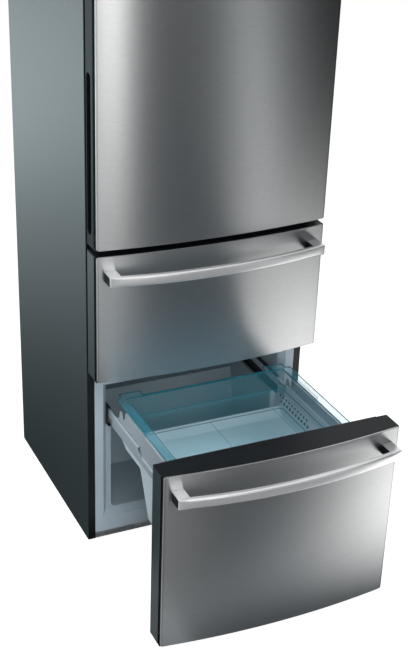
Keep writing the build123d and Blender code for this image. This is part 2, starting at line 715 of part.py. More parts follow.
with BuildPart() as hinge_middle:
    with BuildSketch(Plane.XY.offset(HINGE_PLATE_Z)):
        with Locations((HINGE_X, HINGE_Y)):
            Circle(HINGE_EYE)
        span(240, 296, -8, -FIT)
        make_hull()
    extrude(amount=HINGE_SHEET)
    with BuildSketch(at_y(-HINGE_SHEET)):
        # leaf that is screwed to the crossbar
        span(236, 298, FLANGE_Z["middle"][1] + 0.5, FLANGE_Z["fridge"][0] - 0.5, 3)
        with Locations(*MIDDLE_SCREWS):
            Circle(2.6, mode=Mode.SUBTRACT)
    extrude(amount=FIT - HINGE_SHEET)
    add(pin(HINGE_PLATE_Z, DOOR_Z[0] + PIN_REACH, PIN_RADIUS))
    add(pin(HINGE_PLATE_Z, DOOR_Z[0] - 2 * PLAY, COLLAR))
write(hinge_middle, "hinge_middle")

# ---- slides ----------------------------------------------------------------------------
with BuildPart() as slide_channels:
    wall, mouth = CHANNEL_X
    for rise in (0.0, DRAWER_PITCH):
        low, high = CHANNEL_Z[0] + rise, CHANNEL_Z[1] + rise
        with BuildSketch(at_y(CHANNEL_Y[0])):
            channel = [
                (mouth, high - CHANNEL_LIPS[1]),
                (mouth, high),
                (wall, high),
                (wall, low),
                (mouth, low),
                (mouth, low + CHANNEL_LIPS[0]),
            ]
            add(folded(channel, SHEET, bend=1.6))
        extrude(amount=CHANNEL_Y[0] - CHANNEL_Y[1])
    mirror(about=Plane.YZ)
write(slide_channels, "slide_channels")

with BuildPart() as telescopes:
    # one each side, moving at half the drawer's pace
    outer, inner = TELESCOPE_X
    low, high = TELESCOPE_Z
    near, far = TELESCOPE_Y
    with BuildSketch(at_y(near)):
        channel = [(inner, low), (outer, low), (outer, high), (inner, high)]
        add(folded(channel, SHEET, Side.RIGHT, 1.6))
    extrude(amount=near - far)
    with BuildSketch(Plane.YZ.offset(outer - PASS)):
        outline([(near - 1, high), (near + TELESCOPE_NOSE, high), (near - 1, low + 3)])
    extrude(amount=inner - outer + 2 * PASS, mode=Mode.SUBTRACT)
    mirror(about=Plane.YZ)

# hooks at the rear end of a rail, seen from the side: y from the rear tip, and z
RAIL_HOOKS = [
    (2, 380),
    (-25, 384),
    (-29, 392),
    (-40, 396),
    (-46, 419),
    (-57, 421),
    (-66, 404),
    (-76, 411),
    (-83, 440),
    (2, 440),
]

with BuildPart() as rails:
    # roll-formed rails that carry a drawer's basket, one each side
    bottom, ledge, top = RAIL_Z
    web = RAIL_WEB_X - RAIL_SHEET
    near, far = RAIL_Y
    with BuildSketch(at_y(near)):
        rail_line = [
            (web + RAIL_LIP, top),
            (web, top),
            (web, ledge + RAIL_SHEET),
            (RAIL_LEDGE_X, ledge + RAIL_SHEET),
            (RAIL_LEDGE_X, bottom),
        ]
        add(folded(rail_line, RAIL_SHEET, bend=1.8))
    extrude(amount=near - far)
    with BuildSketch(Plane.YZ.offset(RAIL_LEDGE_X - 2 * PASS)):
        outline([(far + y, z) for y, z in RAIL_HOOKS])
    extrude(amount=14, mode=Mode.SUBTRACT)
    with BuildSketch(at_y(near)):
        # plate that screws to the back of the front
        span(web + PASS, RAIL_FOOT_X, bottom, top - 6)
    extrude(amount=-2)
    mirror(about=Plane.YZ)


def basket_block(half_section, side_view, corner, bend):
    """Block whose cross-section and side view cut each other."""
    with BuildPart() as block:
        with BuildSketch(at_y(-PASS)) as section:
            outline(half_section + [(-x, z) for x, z in reversed(half_section)])
            fillet(section.vertices().group_by(Axis.Y)[0], corner)
        extrude(amount=-RAIL_Y[1] - 20)
        with BuildSketch(Plane.YZ.offset(-HALF)) as view:
            outline(side_view)
            fillet(view.vertices().sort_by(Axis.Y)[:4], bend)
        extrude(amount=WIDTH, mode=Mode.INTERSECT)
    return block.part


def basket(outer_side, inner_side):
    """Moulded basket with a vertical rim, a shoulder and leaning walls."""
    rim, edge, shoulder = BASKET_Z
    wide, middle, narrow = BASKET_HALF
    floor, wall = min(z for _, z in outer_side), BASKET_WALL
    section = [(wide, rim), (wide, edge), (middle, shoulder), (narrow, floor)]
    inner_section = [
        (wide - wall, rim + 40),
        (wide - wall, edge + 0.6),
        (middle - wall, shoulder + 0.6),
        (narrow - wall, floor + wall),
    ]
    with BuildPart() as shell:
        add(basket_block(section, outer_side, 18, 14))
        add(basket_block(inner_section, inner_side, 16, 12), mode=Mode.SUBTRACT)
    return shell


LOWER_OUTER = [
    (8, 400),
    (349, 400),
    (356, 345),
    (369, 330),
    (340, 312),
    (247, 312),
    (205, 172),
    (24, 172),
]
LOWER_INNER = [
    (10, 440),
    (367, 440),
    (367, 331),
    (339, 314),
    (245.5, 314),
    (203.5, 174),
    (25.5, 174),
]
MIDDLE_OUTER = [(8, 400), (369, 400), (355, 226), (20, 226)]
MIDDLE_INNER = [(10.2, 440), (370.2, 440), (353, 228), (22, 228)]

for name, rise, out, outer_side, inner_side in (
    ("lower", 0.0, PULLED_OUT, LOWER_OUTER, LOWER_INNER),
    ("middle", DRAWER_PITCH, 0.0, MIDDLE_OUTER, MIDDLE_INNER),
):
    write(telescopes, f"{name}_telescopes", out / 2, rise)
    write(rails, f"{name}_drawer_rails", out, rise)
    write(basket(outer_side, inner_side), f"{name}_drawer_basket", out, rise)

# ---- tinted tray -----------------------------------------------------------------------
TRAY_OUTER_SIDE = [(-54, 452), (-61, 400), (-76, 396), (-82, 350), (-352, 350), (-363, 452)]
TRAY_INNER_SIDE = [
    (-55.6, 470),
    (-63, 402),
    (-78, 398),
    (-84, 352.2),
    (-350, 352.2),
    (-361.4, 470),
]
EAR_X = (172.0, 228.0)  # ears at the tray's back corners
EAR_REACH, EAR_CORNER = 22.0, 9.0
RUNNER_X = (229.0, 234.0)  # ride on the drawer's rails
TRAY_RUNNER_Y = (-215.0, TRAY_Y[1] - 8)
RIB_HEIGHT, RIB_WIDTH = 3.0, 1.6
RIB_Y = (-352.0, -84.0)
VENT_LENGTH, VENT_WIDTH, VENT_PITCH, VENT_COUNT = 6.5, 4.0, 15.5, 10
VENT_Y, VENT_Z = -144.0, TRAY_Z[0] + 14


def tray_block(halves, bottom, top, side_view, corner):
    """Tapered block with the tray's stepped side view."""
    narrow, wide = halves
    with BuildPart() as block:
        with BuildSketch(at_y(TRAY_Y[0])) as section:
            outline([(wide, top), (narrow, bottom), (-narrow, bottom), (-wide, top)])
            fillet(section.vertices().group_by(Axis.Y)[0], corner)
        extrude(amount=TRAY_Y[0] - TRAY_Y[1])
        with BuildSketch(Plane.YZ.offset(-HALF)):
            outline(side_view)
        extrude(amount=WIDTH, mode=Mode.INTERSECT)
    return block.part


with BuildPart() as tray:
    floor, rim = TRAY_Z
    add(tray_block(TRAY_HALF, floor, rim, TRAY_OUTER_SIDE, 8))
    with BuildSketch(Plane.XY.offset(rim)):
        span(-TRAY_RIM_HALF, TRAY_RIM_HALF, *TRAY_Y, 10)
        for side in (-1, 1):
            ear = (side * EAR_X[0], side * EAR_X[1])
            span(*ear, TRAY_Y[1] - 12, TRAY_Y[1] + EAR_REACH, EAR_CORNER)
    extrude(amount=-TRAY_RIM)
    with BuildSketch(Plane.XY.offset(rim - TRAY_RIM)):
        for side in (-1, 1):
            span(side * RUNNER_X[0], side * RUNNER_X[1], *TRAY_RUNNER_Y)
    extrude(amount=RAIL_Z[2] + 3 * FIT - rim + TRAY_RIM)
    inside = [half - TRAY_WALL for half in TRAY_HALF]
    void = tray_block(inside, floor + TRAY_WALL, rim + 18, TRAY_INNER_SIDE, 6)
    add(void, mode=Mode.SUBTRACT)
    with BuildSketch(Plane.XY.offset(floor + TRAY_WALL - PLAY)):
        # low ribs that divide the floor
        for x in (-181, 0, 181):
            span(x - RIB_WIDTH / 2, x + RIB_WIDTH / 2, *RIB_Y)
    extrude(amount=RIB_HEIGHT)
    with BuildSketch(Plane.YZ.offset(-HALF)):
        with Locations((VENT_Y, VENT_Z)):
            with GridLocations(VENT_PITCH, 0, VENT_COUNT, 1):
                SlotOverall(VENT_LENGTH, VENT_WIDTH)
    extrude(amount=WIDTH, mode=Mode.SUBTRACT)
write(tray, "tinted_tray")

# ---- cooling ---------------------------------------------------------------------------
COVER_Y = 410.0
COVER_SHEET = 2.0
COVER_HALF = (226.0, 240.0)  # below and above the slides' ledge
FAN_SLOTS, FAN_SLOT_LENGTH, FAN_SLOT_WIDTH, FAN_SLOT_RING = 16, 28.0, 5.0, 27.0
RETURN_SLOTS, RETURN_PITCH, RETURN_LENGTH, RETURN_WIDTH = 12, 20.0, 22.0, 6.0
RETURN_X, RETURN_Z = -70.0, HUMP_TOP + 20
RING_RADII = (FAN_RADIUS + 2.5, FAN_RADIUS + 5)
with BuildPart() as evaporator_cover:
    with BuildSketch(at_y(COVER_Y)):
        ceiling = LOWER_CAVITY_Z[1] - 2
        span(-COVER_HALF[0], COVER_HALF[0], HUMP_TOP + 2, ceiling, 6)
        span(-COVER_HALF[1], COVER_HALF[1], LEDGE_Z + 2, ceiling, 6)
        with Locations((FAN_X, FAN_Z)):
            with PolarLocations(FAN_SLOT_RING, FAN_SLOTS):
                SlotOverall(FAN_SLOT_LENGTH, FAN_SLOT_WIDTH, mode=Mode.SUBTRACT)
        with Locations((RETURN_X, RETURN_Z)):
            with GridLocations(RETURN_PITCH, 0, RETURN_SLOTS, 1):
                Rectangle(RETURN_WIDTH, RETURN_LENGTH, mode=Mode.SUBTRACT)
    extrude(amount=-COVER_SHEET)
    with BuildSketch(at_y(COVER_Y)):
        with Locations((FAN_X, FAN_Z)):
            Circle(RING_RADII[1])
            Circle(RING_RADII[0], mode=Mode.SUBTRACT)
    extrude(amount=3)
write(evaporator_cover, "evaporator_cover")

COIL_X, COIL_Z = (-212.0, 66.0), (HUMP_TOP + 14, 440.0)
COIL_Y, COIL_DEPTH = 428.0, 14.0
FIN_Y, FIN_DEPTH, FIN_HEIGHT, FIN_PITCH, FIN_COUNT = 417.0, 38.0, 130.0, 11.5, 24
FIN_SHEET = 1.2
with BuildPart() as evaporator:
    with BuildSketch(at_y(COIL_Y)):
        span(*COIL_X, *COIL_Z)
    extrude(amount=-COIL_DEPTH)
    with BuildSketch(at_y(FIN_Y)):
        with Locations((sum(COIL_X) / 2, sum(COIL_Z) / 2)):
            with GridLocations(FIN_PITCH, 0, FIN_COUNT, 1):
                Rectangle(FIN_SHEET, FIN_HEIGHT)
    extrude(amount=-FIN_DEPTH)
write(evaporator, "evaporator")

FAN_Y = (418.0, 434.0)
HUB_RADIUS, SHAFT_RADIUS, MOTOR_RADIUS = 12.0, 2.0, 17.0
BLADES, BLADE_PITCH = 6, 34.0  # number and angle of the blades
BLADE_SHEET, BLADE_CHORD, BLADE_LENGTH = 1.6, 24.0, 34.0

with BuildPart() as fan_blade:
    with BuildSketch(at_y(FAN_Y[0])):
        with Locations((FAN_X, FAN_Z)):
            Circle(HUB_RADIUS)
    extrude(amount=FAN_Y[0] - FAN_Y[1])
    centre = Location((FAN_X, sum(FAN_Y) / 2, FAN_Z))
    pitched = Location((0, 0, HUB_RADIUS + 15), (0, 0, BLADE_PITCH))
    turns = [Location((0, 0, 0), (0, turn * 360 / BLADES, 0)) for turn in range(BLADES)]
    with Locations(*[centre * turn * pitched for turn in turns]):
        Box(BLADE_CHORD, BLADE_SHEET, BLADE_LENGTH)
    with BuildSketch(at_y(FAN_Y[0] - 5)):
        with Locations((FAN_X, FAN_Z)):
            Circle(FAN_RADIUS)
    extrude(amount=-30, mode=Mode.INTERSECT)
    with BuildSketch(at_y(FAN_Y[0] + 2)):
        with Locations((FAN_X, FAN_Z)):
            Circle(SHAFT_RADIUS + PIN_CLEARANCE)
    extrude(amount=-30, mode=Mode.SUBTRACT)
write(fan_blade, "fan_blade")

with BuildPart() as fan_motor:
    with BuildSketch(turned_plane(FAN_X, FAN_Y[0] + 4, FAN_Z, 1)):
        Circle(SHAFT_RADIUS)
    extrude(amount=20)
    with BuildSketch(turned_plane(FAN_X, FAN_Y[1] + 3, FAN_Z, 1)):
        Circle(MOTOR_RADIUS)
    extrude(amount=16)
    chamfer(fan_motor.faces().sort_by(Axis.Y)[-1].edges(), 2)
    arms_y = FAN_Y[1] + 15
    with BuildSketch(turned_plane(FAN_X, arms_y, FAN_Z, 1)):
        with PolarLocations(28, 3):
            SlotOverall(40, 8)
    extrude(amount=LOWER_DEPTH - PLAY - arms_y)
write(fan_motor, "fan_motor")

# ---- machine space ---------------------------------------------------------------------
COMPRESSOR_X, COMPRESSOR_Y = 95.0, 448.0
COMPRESSOR_BASE = (196.0, 132.0)
MOUNT_RING = (168.0, 104.0)  # between the rubber mounts
DOME = [  # radius and height along the shell, with the welded seam in the middle
    (0, 52),
    (46, 52),
    (68, 64),
    (77, 84),
    (79, 126),
    (84, 126),
    (84, 131),
    (79, 131),
    (76, 170),
    (62, 194),
    (38, 204),
    (0, 206),
]
TUBE_STUBS = [(30, 72), (-20, 78), (62, 50)]
with BuildPart() as compressor:
    with BuildSketch(Plane.XZ):
        outline(DOME)
    revolve(axis=Axis.Z)
    with BuildSketch(Plane.XY.offset(PLATE_Z + 8)):
        RectangleRounded(*COMPRESSOR_BASE, 16)
    extrude(amount=4.2)
    with BuildSketch(Plane.XY.offset(PLATE_Z + 2)):
        with GridLocations(*MOUNT_RING, 2, 2):
            Circle(10)
    extrude(amount=14)
    with BuildSketch(Plane.XY.offset(96)):
        # terminal box
        with Locations((-92, 0)):
            RectangleRounded(50, 62, 8)
    extrude(amount=58)
    with BuildSketch(Plane.XY.offset(140)):
        with Locations(*TUBE_STUBS):
            Circle(4)
    extrude(amount=62)
compressor.part = compressor.part.moved(Location((COMPRESSOR_X, COMPRESSOR_Y, 0)))
write(compressor, "compressor")

DRIP_TRAY = (150.0, 108.0)
DRIP_TRAY_Z = (207.0, 240.0)
with BuildPart() as drip_tray:
    low, high = DRIP_TRAY_Z
    for wall, mode in ((0, Mode.ADD), (2, Mode.SUBTRACT)):
        with BuildSketch(Plane.XY.offset(high)):
            with Locations((COMPRESSOR_X, COMPRESSOR_Y)):
                RectangleRounded(DRIP_TRAY[0] - 2 * wall, DRIP_TRAY[1] - 2 * wall, 14 - wall)
        extrude(amount=low + wall - high, taper=6, mode=mode)
write(drip_tray, "drip_tray")

PLATE_SHEET, PLATE_FOLD = 2.0, 12.0
PLATE_Y = (330.0, 548.0)
EAR_OFFSETS = (-10.0, 8.0)  # from a roller's middle to the near faces of its ears
EAR_RADIUS = 7.0
with BuildPart() as compressor_plate:
    plate_half = INNER_HALF - 3 * FIT
    fold_z = PLATE_Z + PLATE_FOLD
    with BuildSketch(Plane.YZ.offset(-plate_half)):
        near, far = PLATE_Y
        tub = [(near, fold_z), (near, PLATE_Z), (far, PLATE_Z), (far, fold_z)]
        add(folded(tub, PLATE_SHEET, bend=3))
    extrude(amount=2 * plate_half)
    for x in (-ROLLER_X, ROLLER_X):
        for gap in EAR_OFFSETS:
            with BuildSketch(Plane.YZ.offset(x + gap)):
                with Locations((ROLLER_Y, ROLLER_RADIUS)):
                    Circle(EAR_RADIUS)
                span(ROLLER_Y - 14, ROLLER_Y + 14, PLATE_Z - 2, PLATE_Z + 0.5)
                make_hull()
            extrude(amount=2)
        with BuildSketch(Plane.YZ.offset(x - ROLLER_WIDTH / 2 - 4)):
            with Locations((ROLLER_Y, ROLLER_RADIUS)):
                Circle(AXLE_RADIUS)
        extrude(amount=ROLLER_WIDTH + 8)
write(compressor_plate, "compressor_plate")

for side, name in ((-1, "roller_left"), (1, "roller_right")):
    with BuildPart() as roller:
        with BuildSketch(Plane.YZ.offset(side * ROLLER_X - ROLLER_WIDTH / 2)):
            with Locations((ROLLER_Y, ROLLER_RADIUS)):
                Circle(ROLLER_RADIUS)
                Circle(AXLE_RADIUS + PIN_CLEARANCE, mode=Mode.SUBTRACT)
        extrude(amount=ROLLER_WIDTH)
        rims = roller.edges().filter_by(GeomType.CIRCLE).sort_by(SortBy.RADIUS)[-2:]
        chamfer(rims, 1.5)
    write(roller, name)

FOOT_RADIUS, FOOT_DISC, NUT_RADIUS, NUT_HEIGHT, STEM_LENGTH = 20.0, 7.0, 9.0, 4.0, 26.0
with BuildPart() as front_feet:
    for x in (-FOOT_X, FOOT_X):
        with BuildSketch(Plane((x, FOOT_Y, 0))):
            Circle(FOOT_RADIUS)
        extrude(amount=FOOT_DISC, taper=12)
        with BuildSketch(Plane((x, FOOT_Y, FOOT_DISC))):
            RegularPolygon(NUT_RADIUS, 6)
        extrude(amount=NUT_HEIGHT)
        with BuildSketch(Plane((x, FOOT_Y, FOOT_DISC + NUT_HEIGHT))):
            Circle(FOOT_STEM)
        extrude(amount=STEM_LENGTH)
write(front_feet, "front_feet")

CONDENSER_Y = 548.0
CONDENSER_HALF = 235.0
CONDENSER_RUNS, CONDENSER_PITCH, CONDENSER_LOW = 8, 180.0, 420.0
TUBE_RADIUS = 2.4
WIRES, WIRE_PITCH, WIRE = 11, 38.0, 1.8
with BuildPart() as condenser:
    levels = [CONDENSER_LOW + run * CONDENSER_PITCH for run in range(CONDENSER_RUNS)]
    ends = (CONDENSER_HALF, -CONDENSER_HALF)
    points = [
        (side * (-1) ** run, CONDENSER_Y, z) for run, z in enumerate(levels) for side in ends
    ]
    with BuildLine():
        FilletPolyline(*points, radius=CONDENSER_PITCH / 2 - 8)
    with BuildSketch(Plane(origin=points[0], z_dir=(-1, 0, 0))):
        RegularPolygon(TUBE_RADIUS, 8)
    sweep()
    with BuildSketch(at_y(CONDENSER_Y - TUBE_RADIUS - WIRE + 0.4)):
        with Locations((0, (levels[0] + levels[-1]) / 2)):
            with GridLocations(WIRE_PITCH, 0, WIRES, 1):
                Rectangle(WIRE, levels[-1] - levels[0] + 20)
    extrude(amount=-WIRE)
write(condenser, "condenser")

GLAND_X, GLAND_Z = -225.0, 300.0
GLAND_STEPS = ((13.0, 3.0), (9.0, 11.0))  # radius and length of the flange and of the nose
GLAND_BORE = 4.2
with BuildPart() as cord_gland:
    near = REAR_PANEL_Y
    for radius, length in GLAND_STEPS:
        with BuildSketch(turned_plane(GLAND_X, near, GLAND_Z, 1)):
            Circle(radius)
        extrude(amount=length)
        near += length
    nose = cord_gland.faces().sort_by(Axis.Y)[-1]
    chamfer(nose.edges(), 2)
    with BuildSketch(turned_plane(GLAND_X, REAR_PANEL_Y, GLAND_Z, 1)):
        Circle(GLAND_BORE)
    extrude(amount=near - REAR_PANEL_Y, mode=Mode.SUBTRACT)
write(cord_gland, "cord_gland")
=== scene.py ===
import json
import math

import bmesh
import bpy
from mathutils import Matrix, Vector


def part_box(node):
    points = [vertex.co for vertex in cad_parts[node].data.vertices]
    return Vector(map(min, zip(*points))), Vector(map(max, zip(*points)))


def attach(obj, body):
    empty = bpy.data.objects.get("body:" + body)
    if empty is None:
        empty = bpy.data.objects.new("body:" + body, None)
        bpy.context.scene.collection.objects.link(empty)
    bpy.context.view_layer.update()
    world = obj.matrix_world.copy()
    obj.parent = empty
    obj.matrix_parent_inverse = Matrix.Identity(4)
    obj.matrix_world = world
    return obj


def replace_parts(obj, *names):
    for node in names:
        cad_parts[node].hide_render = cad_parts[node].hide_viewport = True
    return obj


# Bottom freezer refrigerator: finishes of the CAD nodes, fine pieces added to them, and a
# white studio seen by the photograph's camera. Metres, except where a name or comment says so.
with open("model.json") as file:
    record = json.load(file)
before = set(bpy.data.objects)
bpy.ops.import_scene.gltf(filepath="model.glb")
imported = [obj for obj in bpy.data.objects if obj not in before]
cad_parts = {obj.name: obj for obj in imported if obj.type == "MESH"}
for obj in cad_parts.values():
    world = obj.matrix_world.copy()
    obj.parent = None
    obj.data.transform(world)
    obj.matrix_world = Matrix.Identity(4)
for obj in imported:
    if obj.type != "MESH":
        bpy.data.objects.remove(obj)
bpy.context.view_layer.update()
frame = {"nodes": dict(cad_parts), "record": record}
NODES = frame["nodes"]


# ---- shader writing --------------------------------------------------------------------
class Wire:
    """A socket of one sheet of nodes; arithmetic on it adds Math nodes there."""

    def __init__(self, finish, socket):
        self.finish = finish
        self.socket = socket

    def math(self, operation, *values):
        return self.finish.node("Math", {"operation": operation}, dict(enumerate(values)))

    def __add__(self, other):
        return self.math("ADD", self, other)

    def __radd__(self, other):
        return self.math("ADD", other, self)

    def __sub__(self, other):
        return self.math("SUBTRACT", self, other)

    def __rsub__(self, other):
        return self.math("SUBTRACT", other, self)

    def __mul__(self, other):
        return self.math("MULTIPLY", self, other)

    def __rmul__(self, other):
        return self.math("MULTIPLY", other, self)

    def __truediv__(self, other):
        return self.math("DIVIDE", self, other)

    def absolute(self):
        return self.math("ABSOLUTE", self)

    def larger(self, other):
        return self.math("MAXIMUM", self, other)

    def bell(self, middle, width):
        """1 at `middle`, falling smoothly to 0 over a few widths."""
        off = (self - middle) / width
        return self.math("EXPONENT", off * off * -1.0)

    def rise(self, start, end, low=0.0, high=1.0):
        """Smooth step from `low` at `start` to `high` at `end`."""
        values = {"Value": self, "From Min": start, "From Max": end, "To Min": low, "To Max": high}
        return self.finish.node("MapRange", {"interpolation_type": "SMOOTHSTEP"}, values)


class Sheet:
    """The nodes of one material or of the surroundings, as they are written down."""

    def __init__(self, owner):
        owner.use_nodes = True
        self.tree = owner.node_tree
        self.tree.nodes.clear()

    def node(self, kind, settings=None, inputs=None, output=0):
        """Add a shader node: its settings first, then the values or links of its sockets."""
        made = self.tree.nodes.new("ShaderNode" + kind)
        for key, value in (settings or {}).items():
            setattr(made, key, value)
        for key, value in (inputs or {}).items():
            if isinstance(value, Wire):
                self.tree.links.new(value.socket, made.inputs[key])
            else:
                made.inputs[key].default_value = value
        return Wire(self, made.outputs[output]) if made.outputs else None


class Finish(Sheet):
    """A procedural material."""

    def __init__(self, name):
        self.material = bpy.data.materials.new(name)
        super().__init__(self.material)

    def place(self, x=1.0, y=1.0, z=1.0):
        """Place on the object in the CAD frame, in metres, stretched along each axis."""
        here = self.node("TexCoord", output="Object")
        return self.node("VectorMath", {"operation": "MULTIPLY"}, {0: here, 1: (x, y, z)})

    def axes(self):
        """The three coordinates of the place, as separate values."""
        split = self.node("SeparateXYZ", inputs={0: self.place()})
        sockets = split.socket.node.outputs
        return [Wire(self, sockets[axis]) for axis in "XYZ"]

    def normal_axis(self, axis):
        """One part of the surface's direction in the CAD frame."""
        split = self.node("SeparateXYZ", inputs={0: self.node("TexCoord", output="Normal")})
        return Wire(self, split.socket.node.outputs[axis])

    def noise(self, scale, detail=2.0, stretch=(1.0, 1.0, 1.0), rough=0.5):
        """Cloudy value round 0.5; `scale` is in waves per metre."""
        values = {"Vector": self.place(*stretch), "Scale": scale}
        values |= {"Detail": detail, "Roughness": rough}
        return self.node("TexNoise", inputs=values)

    def mix(self, factor, first, second):
        """Colour between two, by a factor from 0 to 1."""
        sockets = {0: factor, 6: rgba(first), 7: rgba(second)}  # a Mix node's sockets for colours
        return self.node("Mix", {"data_type": "RGBA"}, sockets, output=2)

    def bump(self, height, distance):
        """Normal of a surface whose relief is `distance` metres deep."""
        values = {"Height": height, "Distance": distance, "Strength": 1.0}
        return self.node("Bump", inputs=values)

    def close(self, **inputs):
        """Shader and output; names are the shader's sockets with _ for a space."""
        values = {key.replace("_", " "): value for key, value in inputs.items()}
        shader = self.node("BsdfPrincipled", inputs=values)
        self.node("OutputMaterial", inputs={"Surface": shader})
        return self.material


def rgba(colour):
    """A plain colour with its alpha; a wire stays as it is."""
    return colour if isinstance(colour, Wire) else (*colour, 1.0)


def grey(level, warmth=0.0):
    """Near-neutral colour; a negative warmth leans to blue."""
    return (level * (1 + warmth), level, level * (1 - warmth))


# Places on the CAD nodes, in metres, that both finishes and detail pieces use.
HEM_LINE, HEM_WIDTH = 0.2945, 0.0005  # where the steel is folded over at its sides, and where its line of painted shade runs
LINER_EDGE = (0.008, 0.040)  # from the liner's front edge to where its painted shade inside is full
TRAY_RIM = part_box("tinted_tray")[1].z - 0.0025  # underside of the tray's rim
VENT_Y, VENT_Z = -0.144, 0.364  # middle of the row of slots in the tray's sides
VENT_PITCH, VENT_COUNT = 0.0155, 10
VENT_HALF_HEIGHT = 0.0036
LENS_RIB_PITCH = 0.004


# ---- finishes --------------------------------------------------------------------------
def brushed_steel():
    """Stainless sheet with a fine horizontal grain, and a dark line of painted shade along each
    side fold.
    """
    f = Finish("brushed_steel")
    grain = f.noise(1.0, 3.0, (30, 30, 2600))
    streak = f.noise(1.0, 3.0, (50, 50, 480), 0.7)
    fleck = f.noise(900.0, 1.0)
    patch = f.noise(3.0, 1.0)
    shade = 0.35 * grain + 0.5 * streak + 0.15 * fleck
    sheet = f.mix(shade, grey(0.44, -0.02), grey(0.72, -0.015))
    x = f.axes()[0]
    # Painted shade: a dark line along each side fold of the steel.
    fold_shade_line = x.absolute().bell(HEM_LINE, HEM_WIDTH)
    return f.close(
        Base_Color=f.mix(0.75 * fold_shade_line, sheet, grey(0.03)),
        Metallic=1.0,
        Roughness=0.25 + 0.05 * shade + 0.02 * patch,
        Anisotropic=0.9,
        Anisotropic_Rotation=0.25,
        Normal=f.bump(grain, 0.00002),
    )


def cabinet_paint():
    """Grey sheet-steel paint with a fine orange peel; faces turned to the front are painted near
    black as painted shade and reflection.
    """
    f = Finish("cabinet_paint")
    peel = f.noise(420.0, 2.0)
    fleck = f.noise(2600.0, 1.0)
    cloud = f.noise(2.5, 2.0)
    colour = f.mix(0.6 * fleck + 0.4 * cloud, (0.030, 0.046, 0.050), (0.044, 0.062, 0.067))
    # Painted shade and reflection: faces turned to the front are painted near black.
    front_facing_shade = f.normal_axis("Y").rise(-0.9, -0.6, 1.0, 0.0)
    return f.close(
        Base_Color=f.mix(front_facing_shade, colour, (0.005, 0.007, 0.008)),
        Metallic=0.25,
        Roughness=0.34 + 0.10 * fleck,
        Normal=f.bump(peel, 0.00004),
    )


def shaded_side_paint():
    """Side paint, darker than the cabinet's grey as painted shade; the fridge door's sides take
    it.
    """
    f = Finish("shaded_side_paint")
    peel = f.noise(420.0, 2.0)
    fleck = f.noise(2600.0, 1.0)
    return f.close(
        Base_Color=f.mix(fleck, (0.010, 0.014, 0.016), (0.019, 0.025, 0.027)),
        Roughness=0.46 + 0.10 * fleck,
        Specular_IOR_Level=0.08,
        Normal=f.bump(peel, 0.00004),
    )


def black_plastic():
    """Satin moulded plastic of the fronts' caps and the grip."""
    f = Finish("black_plastic")
    texture = f.noise(1500.0, 2.0)
    wear = f.noise(25.0, 3.0)
    return f.close(
        Base_Color=f.mix(wear, (0.004, 0.005, 0.006), (0.008, 0.010, 0.012)),
        Roughness=0.36 + 0.16 * texture,
        Specular_IOR_Level=0.15,
        Normal=f.bump(texture, 0.00005),
    )


def white_plastic():
    """Injection-moulded white plastic, a little blue."""
    f = Finish("white_plastic")
    ripple = f.noise(18.0, 2.0)
    skin = f.noise(700.0, 2.0)
    return f.close(
        Base_Color=f.mix(ripple, (0.60, 0.74, 0.81), (0.68, 0.81, 0.87)),
        Roughness=0.28 + 0.12 * skin,
        Normal=f.bump(skin, 0.00003),
    )


def liner_plastic():
    """Vacuum-formed liner: lighter at its front edge, painted darker inside as painted shade of
    the cabinet's interior.
    """
    f = Finish("liner_plastic")
    ripple = f.noise(12.0, 2.0)
    skin = f.noise(500.0, 2.0)
    # Painted shade: the liner's inside is darker than its front edge.
    inside = f.mix(ripple, (0.28, 0.36, 0.40), (0.33, 0.41, 0.45))
    y = f.axes()[1]
    return f.close(
        Base_Color=f.mix(y.rise(*LINER_EDGE), (0.41, 0.49, 0.55), inside),
        Roughness=0.25 + 0.12 * skin,
        Normal=f.bump(skin, 0.00004),
    )


def white_metal():
    """White powder coat of the rails and crossbars."""
    f = Finish("white_metal")
    peel = f.noise(600.0, 2.0)
    return f.close(
        Base_Color=f.mix(f.noise(30.0), (0.34, 0.41, 0.46), (0.39, 0.46, 0.51)),
        Roughness=0.32 + 0.12 * peel,
        Normal=f.bump(peel, 0.00005),
    )


def gasket_rubber():
    """Dark magnetic door seal, a little chalky."""
    f = Finish("gasket_rubber")
    skin = f.noise(900.0, 2.0)
    return f.close(
        Base_Color=f.mix(f.noise(12.0, 3.0), (0.045, 0.050, 0.055), (0.075, 0.082, 0.088)),
        Roughness=0.62 + 0.15 * skin,
        Normal=f.bump(skin, 0.00008),
    )


def satin_aluminium():
    """Anodised bar, brushed along its length."""
    f = Finish("satin_aluminium")
    grain = f.noise(1.0, 3.0, (20, 2200, 2200))
    return f.close(
        Base_Color=f.mix(grain, grey(0.72, -0.01), grey(0.82, -0.01)),
        Metallic=0.74,
        Roughness=0.25 + 0.08 * grain,
        Specular_IOR_Level=0.3,
        Normal=f.bump(grain, 0.00002),
    )


def fin_aluminium():
    """Bare aluminium of the evaporator, frosted."""
    f = Finish("fin_aluminium")
    frost = f.noise(160.0, 3.0)
    return f.close(
        Base_Color=f.mix(frost, grey(0.55), grey(0.75)),
        Metallic=0.9,
        Roughness=0.35 + 0.25 * frost,
        Normal=f.bump(frost, 0.0002),
    )


def shelf_glass():
    """Toughened glass, green towards its edges."""
    f = Finish("shelf_glass")
    edge = f.node("LayerWeight", inputs={"Blend": 0.35}, output="Facing")
    smear = f.noise(9.0, 3.0)
    return f.close(
        Base_Color=f.mix(edge, (0.86, 0.95, 0.93), (0.30, 0.62, 0.55)),
        Roughness=0.03 + 0.05 * smear,
        Alpha=edge.rise(0.0, 1.0, 0.16, 0.75),
    )


def clear_plastic():
    """Clear moulded polystyrene of the door bins."""
    f = Finish("clear_plastic")
    edge = f.node("LayerWeight", inputs={"Blend": 0.4}, output="Facing")
    return f.close(
        Base_Color=f.mix(edge, (0.85, 0.93, 0.96), (0.72, 0.84, 0.88)),
        Roughness=0.08 + 0.08 * f.noise(300.0),
        Alpha=edge.rise(0.0, 1.0, 0.22, 0.8),
    )


